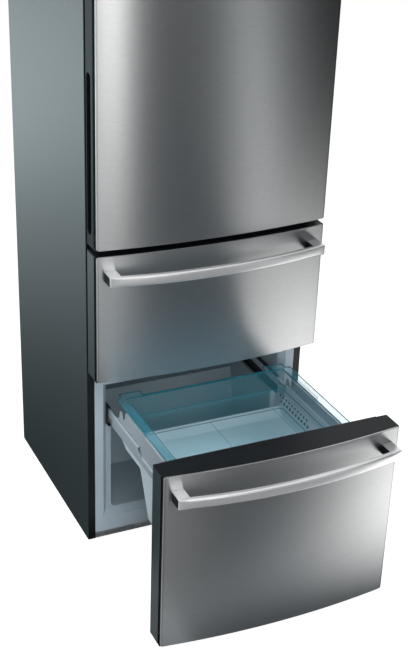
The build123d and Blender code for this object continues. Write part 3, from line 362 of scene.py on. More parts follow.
def tinted_plastic():
    """Blue-green tray, darker where it is seen on edge and round its vents."""
    f = Finish("tinted_plastic")
    facing = f.node("LayerWeight", inputs={"Blend": 0.5}, output="Facing")
    x, y, z = f.axes()
    upright = 1.0 - f.normal_axis("Z").absolute()
    rim = upright.rise(0.4, 0.9) * z.rise(TRAY_RIM - 0.0006, TRAY_RIM - 0.0002)
    half_row = VENT_COUNT * VENT_PITCH / 2
    along = (y - (VENT_Y + VENT_PITCH / 2)) * (math.tau / VENT_PITCH)
    dots = along.math("COSINE", along).rise(0.1, 0.8) * z.bell(VENT_Z, VENT_HALF_HEIGHT)
    in_row = (y - VENT_Y).absolute().rise(half_row, half_row + 0.002, 1.0, 0.0)
    on_side = x.absolute().rise(0.12, 0.15)
    vents = dots * in_row * on_side
    flow = f.noise(14.0, 2.0)
    edge = facing.rise(0.90, 1.0, 0.0, 0.35)
    solid = edge.larger(rim * 0.97).larger(vents * 0.8)
    clear = f.mix(upright, (0.06, 0.42, 0.56), (0.07, 0.26, 0.33))
    return f.close(
        Base_Color=f.mix(solid, clear, (0.005, 0.11, 0.15)),
        Roughness=0.05 + 0.05 * flow,
        Alpha=0.15 + 0.80 * solid,
        Normal=f.bump(flow, 0.0002),
    )


def tray_edge():
    """The tray's plastic where it is thick: nearly solid dark teal."""
    f = Finish("tray_edge")
    flow = f.noise(30.0, 2.0)
    return f.close(
        Base_Color=f.mix(flow, (0.008, 0.10, 0.13), (0.015, 0.16, 0.20)),
        Roughness=0.08 + 0.08 * flow,
        Alpha=0.85 + 0.12 * flow,
    )


def foam():
    """Rigid cellular foam."""
    f = Finish("foam")
    cells = f.node("TexVoronoi", inputs={"Vector": f.place(), "Scale": 900.0})
    return f.close(
        Base_Color=f.mix(cells, (0.70, 0.60, 0.36), (0.85, 0.78, 0.52)),
        Roughness=0.9,
        Normal=f.bump(cells, 0.0004),
    )


def zinc_steel():
    """Galvanised sheet with its crystal spangle."""
    f = Finish("zinc_steel")
    spangle = f.node("TexVoronoi", inputs={"Vector": f.place(), "Scale": 110.0}, output="Color")
    tone = f.node("SeparateColor", inputs={0: spangle})
    return f.close(
        Base_Color=f.mix(tone, grey(0.42, -0.02), grey(0.56, -0.02)),
        Metallic=0.85,
        Roughness=0.36 + 0.14 * tone,
    )


def black_metal():
    """Black dipped steel."""
    f = Finish("black_metal")
    dust = f.noise(60.0, 4.0)
    return f.close(
        Base_Color=f.mix(dust, (0.010, 0.011, 0.012), (0.032, 0.034, 0.036)),
        Roughness=0.34 + 0.25 * dust,
        Normal=f.bump(f.noise(500.0), 0.00008),
    )


def nylon():
    """Black nylon of feet, rollers and drip tray."""
    f = Finish("nylon")
    skin = f.noise(400.0, 2.0)
    return f.close(
        Base_Color=f.mix(skin, (0.018, 0.019, 0.020), (0.035, 0.036, 0.038)),
        Roughness=0.5 + 0.15 * skin,
        Normal=f.bump(skin, 0.0001),
    )


def screw_zinc():
    """Bright passivated screws, rivets and clips."""
    f = Finish("screw_zinc")
    film = f.noise(700.0, 3.0)
    return f.close(
        Base_Color=f.mix(film, (0.52, 0.53, 0.52), (0.70, 0.70, 0.66)),
        Metallic=1.0,
        Roughness=0.26 + 0.16 * film,
        Normal=f.bump(film, 0.00003),
    )


def copper():
    """Refrigerant pipes and filter, dull where handled."""
    f = Finish("copper")
    stain = f.noise(45.0, 4.0)
    return f.close(
        Base_Color=f.mix(stain, (0.62, 0.24, 0.11), (0.86, 0.44, 0.26)),
        Metallic=1.0,
        Roughness=0.24 + 0.22 * stain,
        Normal=f.bump(f.noise(300.0), 0.00005),
    )


def lamp_lens():
    """Milky ribbed cover of the inside lamp."""
    f = Finish("lamp_lens")
    x = f.axes()[0] * (math.tau / LENS_RIB_PITCH)
    rib = x.math("SINE", x)
    frost = f.noise(300.0, 2.0)
    return f.close(
        Base_Color=f.mix(frost, (0.80, 0.83, 0.82), (0.92, 0.94, 0.93)),
        Roughness=0.22 + 0.15 * frost,
        Alpha=0.80 + 0.1 * rib,
        Normal=f.bump(rib, 0.0004),
    )


FINISHES = {
    "stainless": brushed_steel(),
    "painted_grey": cabinet_paint(),
    "black_plastic": black_plastic(),
    "white_plastic": white_plastic(),
    "white_metal": white_metal(),
    "gasket_rubber": gasket_rubber(),
    "satin_aluminium": satin_aluminium(),
    "fin_aluminium": fin_aluminium(),
    "shelf_glass": shelf_glass(),
    "clear_plastic": clear_plastic(),
    "tinted_plastic": tinted_plastic(),
    "foam": foam(),
    "zinc_steel": zinc_steel(),
    "black_metal": black_metal(),
    "nylon": nylon(),
}
SHADED_SIDE_PAINT, LINER_PLASTIC = shaded_side_paint(), liner_plastic()
SCREW, COPPER, LENS, TRAY_EDGE = screw_zinc(), copper(), lamp_lens(), tray_edge()

for part in frame["record"]["subparts"]:
    piece = NODES[part["node"]]
    piece.data.materials.clear()
    piece.data.materials.append(FINISHES[part["material_slot"]])

# The fridge door's sides take the side paint that is darkened as painted shade.
NODES["fridge_door_sides"].data.materials[0] = SHADED_SIDE_PAINT
# The liners and the evaporator cover take the liner finish with its painted shade inside.
for name in ("middle_liner", "lower_liner", "evaporator_cover"):
    NODES[name].data.materials[0] = LINER_PLASTIC


# ---- making detail pieces --------------------------------------------------------------
MM = 0.001
WELD = 1e-6
SMOOTH_BELOW = math.radians(38)  # flatter edges than this are shaded smooth
RING_POINTS = 24  # of screw heads and turned pieces
SCREW_HEAD = ((1.0, -0.1), (1.0, 0.35), (0.88, 0.75), (0.64, 1.0))  # radius and height, of 1
SCREW_HEIGHT = 0.62  # of the head's radius
RECESS = ((1.0, 1.0), (0.7, 0.35))  # size and height of the cross recess, of 1
RECESS_ARM, RECESS_HALF = 0.52, 0.13  # of the head's radius
SHARPEST, CORNER_STEPS = 0.2, 4  # least radius and the steps of a plate's corners
LEFT_RIGHT = (-1, 1)
UP, BACKWARD = (0, 0, 1), (0, 1, 0)


def crossing(axis):
    """An axis as a unit vector, with the two directions across it."""
    axis = Vector(axis).normalized()
    across = axis.orthogonal().normalized()
    return axis, across, axis.cross(across)


class Piece:
    """A detail piece while it is put together, in millimetres in the CAD frame."""

    def __init__(self, name, body, slot, finish=None):
        self.name, self.body, self.slot = name, body, slot
        self.finish = finish or FINISHES[slot]
        self.work = bmesh.new()

    def loft(self, rings):
        """Closed skin over rings that have the same number of points."""
        loops = [[self.work.verts.new(Vector(point) * MM) for point in ring] for ring in rings]
        for low, high in zip(loops, loops[1:]):
            for i, point in enumerate(low):
                j = (i + 1) % len(low)
                self.work.faces.new((point, low[j], high[j], high[i]))
        for end in (loops[0][::-1], loops[-1]):
            self.work.faces.new(end)

    def turned(self, place, axis, profile, sides=RING_POINTS):
        """Turned shape; the profile lists radius and height along the axis."""
        axis, across, along = crossing(axis)
        steps = [math.tau * i / sides for i in range(sides)]
        spokes = [across * math.cos(a) + along * math.sin(a) for a in steps]
        self.loft([[Vector(place) + axis * h + spoke * r for spoke in spokes] for r, h in profile])

    def screw(self, place, axis, radius):
        """Pan-head screw with a cross recess."""
        axis, across, along = crossing(axis)
        steps = [math.tau * (i - 1) / RING_POINTS for i in range(RING_POINTS)]
        rings = [
            [(size * math.cos(a), size * math.sin(a), level) for a in steps]
            for size, level in SCREW_HEAD
        ]
        for size, level in RECESS:
            arm, half = RECESS_ARM * size, RECESS_HALF * size
            plus = [(arm, -half), (arm, half), (half, half)]
            plus += [(half, arm), (-half, arm), (-half, half)]
            plus += [(-x, -y) for x, y in plus]
            ring = []
            for (x0, y0), (x1, y1) in zip(plus, plus[1:] + plus[:1]):
                ring += [(x0, y0, level), ((x0 + x1) / 2, (y0 + y1) / 2, level)]
            rings.append(ring)
        rise = axis * SCREW_HEIGHT
        self.loft(
            [Vector(place) + (across * x + along * y + rise * z) * radius for x, y, z in ring]
            for ring in rings
        )

    def plate(self, place, right, up, size, corner, layers):
        """Rounded plate; each layer gives an inset and a height above `place`."""
        right, up = Vector(right).normalized(), Vector(up).normalized()
        out = right.cross(up)
        rings = []
        for inset, height in layers:
            ring = []
            radius = max(corner - inset, SHARPEST)
            for quarter, (side, level) in enumerate(((1, 1), (-1, 1), (-1, -1), (1, -1))):
                x = side * (size[0] / 2 - inset - radius)
                y = level * (size[1] / 2 - inset - radius)
                for step in range(CORNER_STEPS + 1):
                    a = math.pi / 2 * (quarter + step / CORNER_STEPS)
                    ring.append((x + radius * math.cos(a), y + radius * math.sin(a)))
            rings.append([Vector(place) + right * x + up * y + out * height for x, y in ring])
        self.loft(rings)

    def strip(self, path, across, width, thickness):
        """Flat strip bent along a path."""
        across = Vector(across).normalized()
        points = [Vector(point) for point in path]
        rings = []
        for i, point in enumerate(points):
            ahead, before = points[min(i + 1, len(points) - 1)], points[max(i - 1, 0)]
            off = (ahead - before).normalized().cross(across) * (thickness / 2)
            side = across * (width / 2)
            low, high = point - off, point + off
            rings.append([low - side, low + side, high + side, high - side])
        self.loft(rings)

    def done(self):
        """Close the mesh and put the piece on its body."""
        bmesh.ops.remove_doubles(self.work, verts=self.work.verts, dist=WELD)
        bmesh.ops.recalc_face_normals(self.work, faces=self.work.faces)
        mesh = bpy.data.meshes.new(self.name)
        self.work.to_mesh(mesh)
        self.work.free()
        mesh.polygons.foreach_set("use_smooth", [True] * len(mesh.polygons))
        mesh.set_sharp_from_angle(angle=SMOOTH_BELOW)
        return place_piece(self.name, mesh, self.finish, self.body)


def add_object(name, data):
    """Object in the scene, at the CAD frame's origin."""
    made = bpy.data.objects.new(name, data)
    bpy.context.scene.collection.objects.link(made)
    return made


def place_piece(name, data, finish, body):
    """Detail piece on one of the record's bodies, with its finish."""
    data.materials.append(finish)
    made = add_object(name, data)
    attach(made, body)
    return made


def round_bar(name, kind, points, radius, resolution):
    """Curve of round section through points in millimetres; returns it with its spline."""
    curve = bpy.data.curves.new(name, "CURVE")
    curve.dimensions = "3D"
    curve.bevel_depth = radius * MM
    curve.bevel_resolution = resolution
    spline = curve.splines.new(kind)
    spline.points.add(len(points) - 1)
    for point, place in zip(spline.points, points):
        point.co = (*(Vector(place) * MM), 1.0)
    return curve, spline


# ---- drawer handles --------------------------------------------------------------------
DRAWERS = {  # how far the drawer's parts lie from the middle drawer's, in y and z
    "middle_drawer": (0, 0),
    "lower_drawer": (-409, -352),
}
BAR_HALF, POST_WIDTH = 281, 28
BAR_Z = (784, 809)
BAR_END_Y, BAR_MIDDLE_Y = -113.6, -144  # of the bar's front line
BAR_THICK, BAR_THIN = 13, 11  # in its middle and at its ends
BAR_CORNER = 3  # plan radius where the bar turns into its posts
BAR_SPACING, BAR_LAST = 20, 240  # the bowed part's sections
BAR_TURN = (-272, -264, -256)  # closer ones beside a post
POST_YS = (-71.5, -90, -102)  # sections of a post from its foot
POST_ROUNDING, CORNER_ROUNDING, TURN_ROUNDING, FULL_ROUNDING = 0.8, 3.0, 3.5, 5.5
ROUNDING_GAIN = 0.12  # per millimetre along the bar
EDGE_STEPS = 6  # of a rounded edge
CAP_MIDDLE_Y, CAP_CORNER = -91.0, 2.0
CAP_LAYERS = ((0, -1.0), (0, 0.4), (0.4, 0.7), (1.4, 0.7), (1.8, 0.15))
OUTER_CAP, INNER_CAP, INNER_CAP_BACK = (35.0, 22.4), (30.0, 21.4), 2


def bowed(x, end_y, middle_y):
    """Front or back line of the bar, an arc seen from above."""
    rise = end_y - middle_y
    radius = (BAR_HALF**2 + rise**2) / (2 * rise)
    return middle_y + radius - math.sqrt(radius**2 - x**2)


def bar_stations():
    """Sections of the bar: outer point, inner point and rounding of the outer edges."""
    inner_x = BAR_HALF - POST_WIDTH
    inner_end, inner_middle = BAR_END_Y + BAR_THIN, BAR_MIDDLE_Y + BAR_THICK
    inner_y = bowed(inner_x, inner_end, inner_middle)
    stations = [
        ((-BAR_HALF, y), (-inner_x, max(y, inner_y)), POST_ROUNDING)
        for y in (*POST_YS, BAR_END_Y + BAR_CORNER)
    ]
    for share in (1 / 3, 2 / 3, 1):
        a = share * math.pi / 2
        x = BAR_CORNER * (1 - math.cos(a)) - BAR_HALF
        y = BAR_CORNER * (1 - math.sin(a)) + BAR_END_Y
        rounding = POST_ROUNDING + (CORNER_ROUNDING - POST_ROUNDING) * share
        stations.append(((x, y), (-inner_x, inner_y), rounding))
    for x in (*BAR_TURN, -inner_x, *range(-BAR_LAST, 1, BAR_SPACING)):
        inner = max(x, -inner_x)
        back = bowed(inner, inner_end, inner_middle)
        rounding = min(TURN_ROUNDING + (x - BAR_TURN[0]) * ROUNDING_GAIN, FULL_ROUNDING)
        stations.append(((x, bowed(x, BAR_END_Y, BAR_MIDDLE_Y)), (inner, back), rounding))
    mirrored = [((-ox, oy), (-ix, iy), r) for (ox, oy), (ix, iy), r in stations[-2::-1]]
    return stations + mirrored


def bar_handle(drawer, out, up):
    """Bowed bar with soft front edges, turned back at both ends."""
    handle = Piece(f"{drawer}_bar", drawer, "satin_aluminium")
    low, high = BAR_Z
    steps = [math.pi / 2 * i / EDGE_STEPS for i in range(EDGE_STEPS + 1)]
    rings = []
    for outer, inner, rounding in bar_stations():
        outer, inner = Vector(outer), Vector(inner)
        inward = (inner - outer).normalized()
        ring = [(*inner, high), (*inner, low)]
        for edge, side, turn in ((low, 1, steps), (high, -1, steps[::-1])):
            for a in turn:
                spot = outer + inward * rounding * (1 - math.sin(a))
                ring.append((*spot, edge + side * rounding * (1 - math.cos(a))))
        rings.append([(x, y + out, z + up) for x, y, z in ring])
    handle.loft(rings)
    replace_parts(handle.done(), f"{drawer}_handle")


def end_caps(drawer, out, up):
    """Black inserts that close the bar's ends, outside and inside."""
    caps = Piece(f"{drawer}_end_caps", drawer, "black_plastic")
    y, z = CAP_MIDDLE_Y + out, sum(BAR_Z) / 2 + up
    for side in LEFT_RIGHT:
        place = (side * BAR_HALF, y, z)
        caps.plate(place, (0, side, 0), UP, OUTER_CAP, CAP_CORNER, CAP_LAYERS)
        place = (side * (BAR_HALF - POST_WIDTH), y + INNER_CAP_BACK, z)
        caps.plate(place, (0, -side, 0), UP, INNER_CAP, CAP_CORNER, CAP_LAYERS)
    caps.done()


for drawer, (out, up) in DRAWERS.items():
    bar_handle(drawer, out, up)
    end_caps(drawer, out, up)


# ---- fasteners -------------------------------------------------------------------------
REAR_Y = 540.0
REAR_SIDE_X, REAR_SIDE_Z = 268, (330, 700, 1110, 1520, 1900)
REAR_ROW_X, REAR_ROW_Z = (-150, 0, 150), (283, 1952)
HINGE_SPOTS = [(252, 30, 1988), (278, 30, 1988), (265, 54, 1988)]
PANEL_SIDE_X, PANEL_Y, PANEL_Z = 270, -10, (560, 680, 800)  # on the middle drawer


def screws(name, body, spots, axis, radius):
    """One piece with all screws of a kind."""
    group = Piece(name, body, "zinc_steel", SCREW)
    for spot in spots:
        group.screw(spot, axis, radius)
    group.done()


rear_spots = [(side * REAR_SIDE_X, REAR_Y, z) for side in LEFT_RIGHT for z in REAR_SIDE_Z]
rear_spots += [(x, REAR_Y, z) for x in REAR_ROW_X for z in REAR_ROW_Z]
screws("rear_panel_screws", "cabinet", rear_spots, BACKWARD, radius=4.6)
screws("hinge_top_screws", "cabinet", HINGE_SPOTS, UP, radius=5)
for drawer, (out, up) in DRAWERS.items():
    spots = [(side * PANEL_SIDE_X, PANEL_Y + out, z + up) for side in LEFT_RIGHT for z in PANEL_Z]
    screws(f"{drawer}_panel_screws", drawer, spots, BACKWARD, radius=4.2)


# ---- cooling circuit -------------------------------------------------------------------
CLIP_X, CLIP_Z = (-120, 120), (420, 960, 1500, 1680)
CLIP_BEND = [(-15, 540.6), (-7, 540.6), (-4.2, 543), (-3.6, 548), (-2.2, 550.6), (0, 551.3)]
CLIP_WIDTH, CLIP_THICKNESS = 9, 0.9
CLIP_SCREW_Y, CLIP_SCREW_OFF = 541, 11
DRIER_FOOT, DRIER_LEAN = (-150, 515, 96), (-0.25, 0.0, 1.0)
DRIER_PROFILE = [
    (2.2, -14), (2.4, -4), (5, 2), (9, 9), (9.5, 14),
    (9.5, 88), (9, 93), (5, 100), (2.4, 106), (2.2, 116),
]
MOUNT_X, MOUNT_Y, MOUNT_TOP = (11, 179), (396, 500), 63  # the compressor's four feet
MOUNT_PROFILE = [(5, 56), (11, 56.2), (12, 57.5), (12, 60), (9, 62.5), (5, MOUNT_TOP)]


def pipe(name, radius, points):
    """Bent copper pipe."""
    curve, spline = round_bar(name, "NURBS", points, radius, resolution=3)
    curve.use_fill_caps = True
    spline.order_u = 3
    spline.use_endpoint_u = True
    place_piece(name, curve, COPPER, "cabinet")


clips = Piece("condenser_clips", "cabinet", "black_metal")
bend = CLIP_BEND + [(-along, y) for along, y in CLIP_BEND[-2::-1]]
for x in CLIP_X:
    for z in CLIP_Z:
        path = [(x, y, z + along) for along, y in bend]
        clips.strip(path, (1, 0, 0), CLIP_WIDTH, CLIP_THICKNESS)
clips.done()
clip_spots = [
    (x, CLIP_SCREW_Y, z + side * CLIP_SCREW_OFF)
    for x in CLIP_X
    for z in CLIP_Z
    for side in LEFT_RIGHT
]
screws("condenser_clip_screws", "cabinet", clip_spots, BACKWARD, radius=3)

pipe(
    "discharge_pipe", radius=2.4, points=[
        (75, 526, 200), (75, 526, 236), (60, 538, 256), (20, 547, 262), (-40, 548, 300),
        (40, 548, 352), (210, 548, 366), (246, 548, 384), (252, 548, 412), (233, 548, 420),
    ],
)
pipe(
    "suction_pipe", radius=3.2, points=[
        (125, 520, 200), (125, 520, 226), (140, 528, 246), (200, 532, 250), (216, 530, 236),
        (216, 500, 226), (216, 440, 232), (216, 420, 262),
    ],
)
drier = Piece("filter_drier", "cabinet", "zinc_steel", COPPER)
drier.turned(DRIER_FOOT, DRIER_LEAN, DRIER_PROFILE)
drier.done()
pipe(
    "drier_pipe", radius=1.8, points=[
        (-178, 515, 209), (-186, 515, 240), (-192, 530, 256), (-200, 547, 270), (-240, 548, 300),
        (-262, 548, 700), (-262, 548, 1620), (-258, 548, 1672), (-240, 548, 1680),
        (-233, 548, 1680),
    ],
)
pipe(
    "capillary_pipe", radius=1.1, points=[
        (-147, 515, 84), (-146, 515, 66), (-130, 512, 56), (-60, 500, 54), (-34, 470, 60),
        (-36, 420, 90), (-40, 390, 160), (-40, 380, 230), (-40, 380, 263),
    ],
)
mounts = Piece("compressor_mounts", "cabinet", "black_plastic")
for x in MOUNT_X:
    for y in MOUNT_Y:
        mounts.turned((x, y, 0), UP, MOUNT_PROFILE)
mounts.done()
bolt_spots = [(x, y, MOUNT_TOP) for x in MOUNT_X for y in MOUNT_Y]
screws("compressor_bolts", "cabinet", bolt_spots, UP, radius=5.5)


# ---- tray ------------------------------------------------------------------------------
TRAY_FRONT_Y, TRAY_BACK_Y, EAR_Y = -365, -52, -30
TRAY_TOP_Z, TRAY_FLOOR_Z = 452, 350
RIM_HALF, WALL_HALF, STEP_HALF, FLOOR_HALF_X = 240, 218, 212.5, 206
EAR_INNER_X, EAR_OUTER_X = 172, 228
RIM_RADIUS, RIM_CORNER, RIM_DROP = 1.15, 5, 1.2  # of the bead along the tray's outline
BEAD_RADIUS, BEAD_CORNER = 0.8, 12
BEADS = (  # name, half width, front, back, height
    ("tray_mouth_bead", WALL_HALF, -361, -57, TRAY_TOP_Z - 0.2),
    ("tray_step_bead", STEP_HALF, -356, -65, TRAY_TOP_Z - 51),
    ("tray_floor_bead", FLOOR_HALF_X, -350, -86, TRAY_FLOOR_Z + 3.2),
)
VENT_PROFILE = [(3.6, 0), (3.6, 0.4), (2.4, 0.5), (2.2, 0.1), (0.4, 0.1)]
VENT_SIDES, VENT_ROW_RISE = 12, 15
VENT_WALL_X, WALL_SLOPE = 208.8, 0.1  # inner face of the side walls at the floor


def rounded_path(corners, radius, level, steps=4):
    """Closed level path through plan corners, with each one rounded."""
    path = []
    for i, corner in enumerate(corners):
        corner = Vector(corner)
        before = (Vector(corners[i - 1]) - corner).normalized() * radius
        after = (Vector(corners[(i + 1) % len(corners)]) - corner).normalized() * radius
        for step in range(steps + 1):
            t = step / steps
            path.append((*(corner + before * (1 - t) ** 2 + after * t**2), level))
    return path


def bead(name, path, radius):
    """Fine moulded bead round the tray."""
    curve, spline = round_bar(name, "POLY", path, radius, resolution=2)
    spline.use_cyclic_u = True
    place_piece(name, curve, TRAY_EDGE, "tray")


ear_side = [
    (RIM_HALF, TRAY_BACK_Y),
    (EAR_OUTER_X, TRAY_BACK_Y),
    (EAR_OUTER_X, EAR_Y),
    (EAR_INNER_X, EAR_Y),
    (EAR_INNER_X, TRAY_BACK_Y),
]
rim = [(RIM_HALF, TRAY_FRONT_Y), *ear_side]
rim += [(-x, y) for x, y in rim[::-1]]
bead("tray_rim_bead", rounded_path(rim, RIM_CORNER, TRAY_TOP_Z - RIM_DROP), RIM_RADIUS)
for name, half, front, back, level in BEADS:
    corners = [(half, front), (half, back), (-half, back), (-half, front)]
    bead(name, rounded_path(corners, BEAD_CORNER, level), BEAD_RADIUS)

vents = Piece("tray_vent_rims", "tray", "tinted_plastic", TRAY_EDGE)
pitch, middle_y, row_z = VENT_PITCH / MM, VENT_Y / MM, VENT_Z / MM
for side in LEFT_RIGHT:
    for i in range(VENT_COUNT):
        y = middle_y + (i - (VENT_COUNT - 1) / 2) * pitch
        for shift, level in ((0, row_z), (pitch / 2, row_z + VENT_ROW_RISE)):
            x = VENT_WALL_X + (level - TRAY_FLOOR_Z) * WALL_SLOPE
            vents.turned((side * x, y + shift, level), (-side, 0, 0), VENT_PROFILE, VENT_SIDES)
vents.done()


# ---- inside ----------------------------------------------------------------------------
LENS_SLOPE = Vector((0, 24, -164)).normalized()  # down the front of the control housing
LENS_PLACE, LENS_SIZE, LENS_CORNER = Vector((-30, 248, 1888)), (88.4, 108.4), 7.6
LENS_BACK, LENS_LAYERS = 5.6, ((0, 0), (0, 3.4), (1.2, 4.4))
DIAL_CENTRE, DIAL_RADIUS, MARK_COUNT = Vector((60, 150.1, 1907)), 16.4, 7
FIRST_MARK, MARK_STEP = -30, 40  # degrees
MARK_LENGTH, MARK_LOSS, MARK_WIDTH, MARK_CORNER = 4.6, 0.3, 1.1, 0.5
MARK_LAYERS = ((0, -0.3), (0, 0.25), (0.2, 0.35))
DRAIN_PLACE = (0, 472, 916)
DRAIN_PROFILE = [
    (3.2, -0.5), (11, -0.5), (11.5, 0.6), (10, 1.6), (5.5, 1.0), (4.2, -0.3), (3.2, -0.4)
]

lens = Piece("lamp_lens", "cabinet", "clear_plastic", LENS)
right = Vector((-1, 0, 0))
place = LENS_PLACE - LENS_SLOPE * LENS_BACK
lens.plate(place, right, LENS_SLOPE.cross(right), LENS_SIZE, LENS_CORNER, LENS_LAYERS)
lens.done()
marks = Piece("dial_marks", "cabinet", "black_plastic")
for i in range(MARK_COUNT):
    a = math.radians(FIRST_MARK + MARK_STEP * i)
    outward = Vector((math.cos(a), 0, math.sin(a)))
    length = MARK_LENGTH - MARK_LOSS * i
    centre = DIAL_CENTRE + outward * (DIAL_RADIUS + length / 2)
    right = outward.cross(BACKWARD)
    marks.plate(centre, right, outward, (MARK_WIDTH, length), MARK_CORNER, MARK_LAYERS)
marks.done()
drain = Piece("fridge_drain", "cabinet", "white_plastic")
drain.turned(DRAIN_PLACE, (0, -1, 0), DRAIN_PROFILE)
drain.done()


# ---- studio ----------------------------------------------------------------------------
AMBIENT = 0.11  # light of the surroundings on matt surfaces
FLOOR_HALF = 8.0
FLOOR_LIFT = 0.93  # keeps the floor white where nothing shades it
CARD_RADIUS, CARD_HEIGHT = 2.4, 3.4
CARD_FROM, CARD_TO, CARD_STEP = -60, 120, 4  # degrees from straight in front to the right
MAT_LEVEL, MAT_RADIUS = 0.003, 7.5
LAMPS = (  # name, place, aim, width, power, whether steel mirrors it
    ("top_light", (-0.6, -1.8, 3.4), (0, 0, 0.8), 2.2, 50, False),
    ("left_light", (-2.2, 0.6, 3.0), (-0.3, 0.2, 1.4), 1.2, 62, True),
    ("front_light", (-0.9, -3.4, 1.5), (0, 0, 0.6), 1.4, 66, False),
    ("right_light", (2.8, -0.4, 2.4), (0.3, 0.2, 1.0), 1.6, 40, False),
)
# How bright the card and the mat are; turns in degrees, heights and distances in metres.
# Heights go on below the floor: there they count along the mat, towards the object.
NARROW_TOP = 0.6  # above this height the narrow light stands upright
NARROW_TURN, NARROW_LEAN, NARROW_WIDTH = 1.0, 10.5, 2.4
WIDE_TURN, WIDE_LEAN, WIDE_WIDTH = 35.5, 5.5, 5.5
DIMMEST, DIM = 0.005, 0.095


def seen_directly(sheet):
    """1 for what the camera, a mirror or clear plastic looks at, 0 for soft light."""
    path = sheet.node("LightPath", output="Is Camera Ray")
    rays = path.socket.node.outputs
    for kind in ("Is Glossy Ray", "Is Transmission Ray"):
        path = path.larger(Wire(sheet, rays[kind]))
    return path


def surroundings():
    """White where it is looked at, dim as a light."""
    world = bpy.data.worlds.new("studio")
    bpy.context.scene.world = world
    sheet = Sheet(world)
    strength = AMBIENT + (1.0 - AMBIENT) * seen_directly(sheet)
    light = sheet.node("Background", inputs={"Color": (1, 1, 1, 1), "Strength": strength})
    sheet.node("OutputWorld", inputs={"Surface": light})


def floor_paint():
    """Pale paper, lifted to white where it is looked at; it keeps its shadow."""
    f = Finish("floor_paint")
    paper = f.node("BsdfDiffuse", inputs={"Color": (0.45, 0.45, 0.45, 1)})
    glow = f.node("Emission", inputs={"Strength": FLOOR_LIFT})
    lifted = f.node("AddShader", inputs={0: paper, 1: glow})
    shown = f.node("MixShader", inputs={0: seen_directly(f), 1: paper, 2: lifted})
    f.node("OutputMaterial", inputs={"Surface": shown})
    return f.material


def card_glow():
    """What the bowed steel mirrors: a dim studio, a narrow light and a low wide one."""
    f = Finish("card_glow")
    x, y, z = f.axes()
    turn = x.math("ARCTAN2", x, y * -1.0) * math.degrees(1)
    reach = x.math("SQRT", x * x + y * y)
    height = z + reach - CARD_RADIUS
    on_mat = z.rise(MAT_LEVEL, 0.04, 1.0, 0.0)
    above = height.larger(0.0)
    below = height.math("MINIMUM", height, NARROW_TOP) - NARROW_TOP
    narrow = turn.bell(NARROW_TURN + NARROW_LEAN * below, NARROW_WIDTH)
    narrow = narrow * height.rise(-1.5, 1.6, 0.1, 4.3)
    wide = turn.bell(WIDE_TURN - WIDE_LEAN * above, WIDE_WIDTH)
    wide = wide * height.rise(0.1, 1.8, 0.75, 0.15)
    patch = (x + 3.0 * (y + 1.0)).rise(0.4, 1.4, 0.0, 2.75) * turn.rise(54.0, 66.0, 1.0, 0.0)
    patch = patch * reach.rise(0.55, 1.1) * reach.rise(1.5, 2.2, 1.0, 0.3)
    beyond_wide = turn.rise(36.0, 48.0) * (1.0 - on_mat)
    far_left = turn.rise(-46.0, -16.0, 0.3, 0.0)
    dim = DIM * (1.0 - beyond_wide) + DIMMEST + far_left
    front = turn.rise(-80.0, -60.0) * turn.rise(110.0, 130.0, 1.0, 0.0)
    behind = reach.rise(0.5, 4.4, 0.05, 1.7) + reach.rise(2.6, 3.6, 0.0, 0.5)
    lit = narrow + on_mat * patch + (1.0 - on_mat) * wide
    level = front * (dim + lit) + (1.0 - front) * behind
    front_tone = f.mix(level, (0.92, 1.0, 1.05), (1.0, 0.99, 0.97))
    tone = f.mix(front, (0.88, 1.0, 1.03), front_tone)
    light = f.node("Emission", inputs={"Color": tone, "Strength": level})
    f.node("OutputMaterial", inputs={"Surface": light})
    return f.material


def stage_mesh(name, corners, faces, finish):
    """Flat-faced mesh of the studio."""
    mesh = bpy.data.meshes.new(name)
    mesh.from_pydata(corners, [], faces)
    mesh.materials.append(finish)
    return add_object(name, mesh)


def lay_floor():
    """Floor far wider than any view."""
    signs = ((-1, -1), (1, -1), (1, 1), (-1, 1))
    corners = [(FLOOR_HALF * i, FLOOR_HALF * j, 0) for i, j in signs]
    floor = stage_mesh("floor", corners, [(0, 1, 2, 3)], floor_paint())


def ring_point(turn, radius, level):
    """Place round the object, turned from straight in front to the right, in degrees."""
    a = math.radians(turn)
    return (math.sin(a) * radius, -math.cos(a) * radius, level)


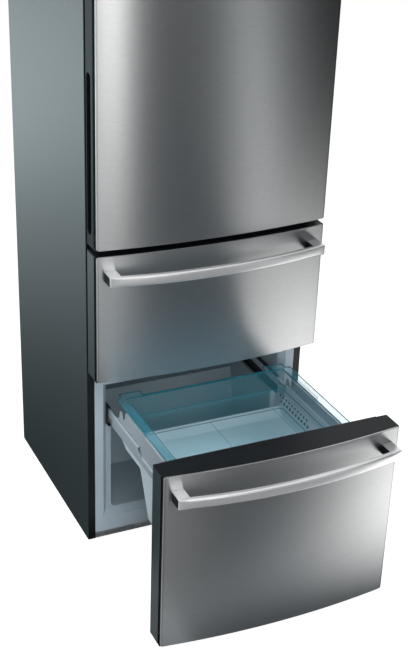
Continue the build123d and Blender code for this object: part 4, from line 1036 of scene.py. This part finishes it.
def stand_cards():
    """Curved card in front and a dark mat all round; only reflections show them."""
    glow = card_glow()
    corners = [
        ring_point(turn, CARD_RADIUS, level)
        for turn in range(CARD_FROM, CARD_TO + 1, CARD_STEP)
        for level in (MAT_LEVEL, CARD_HEIGHT)
    ]
    columns = (CARD_TO - CARD_FROM) // CARD_STEP
    faces = [(2 * i, 2 * i + 2, 2 * i + 3, 2 * i + 1) for i in range(columns)]
    ring = [ring_point(turn, MAT_RADIUS, MAT_LEVEL) for turn in range(0, 360, CARD_STEP)]
    cards = (
        stage_mesh("card", corners, faces, glow),
        stage_mesh("mat", ring, [range(len(ring))], glow),
    )
    for card in cards:
        card.visible_camera = False
        card.visible_diffuse = False
        card.visible_shadow = False
        card.visible_transmission = False


def softbox(name, place, aim, width, power, mirrored):
    """Square lamp that the camera doesn't see."""
    data = bpy.data.lights.new(name, "AREA")
    data.shape = "RECTANGLE"
    data.size = data.size_y = width
    data.energy = power
    lamp = add_object(name, data)
    lamp.location = place
    lamp.rotation_mode = "QUATERNION"
    lamp.rotation_quaternion = (Vector(aim) - Vector(place)).to_track_quat("-Z", "Y")
    lamp.visible_camera = False
    lamp.visible_glossy = mirrored


surroundings()
lay_floor()
stand_cards()
for lamp in LAMPS:
    softbox(*lamp)
bpy.context.scene.view_settings.view_transform = "Standard"


# ---- camera ----------------------------------------------------------------------------
# Fitted to the straight edges of the photograph.
CAMERA_PLACE = Vector((-1.24355, -2.60916, 2.00703))
AZIMUTH, ELEVATION, ROLL = (math.radians(a) for a in (-23.388, 26.975, 1.004))
LENS_MM, SENSOR_MM = 70.34, 36.0
SHIFT = (0.0751, 0.0235)
VIEW_DEPTH = 50.0


def photo_camera():
    """Camera that sees what the photograph shows."""
    data = bpy.data.cameras.new("camera")
    data.lens = LENS_MM
    data.sensor_width = SENSOR_MM
    data.shift_x, data.shift_y = SHIFT
    data.clip_end = VIEW_DEPTH
    camera = add_object("camera", data)
    level = Vector((math.cos(AZIMUTH), math.sin(AZIMUTH), 0))
    backward = Vector((math.sin(AZIMUTH), -math.cos(AZIMUTH), 0))
    away = backward * math.cos(ELEVATION) + Vector(UP) * math.sin(ELEVATION)
    upright = away.cross(level)
    right = level * math.cos(ROLL) + upright * math.sin(ROLL)
    up = upright * math.cos(ROLL) - level * math.sin(ROLL)
    turned = Matrix((right, up, away)).transposed().to_4x4()
    camera.matrix_world = Matrix.Translation(CAMERA_PLACE) @ turned
    bpy.context.scene.camera = camera


photo_camera()
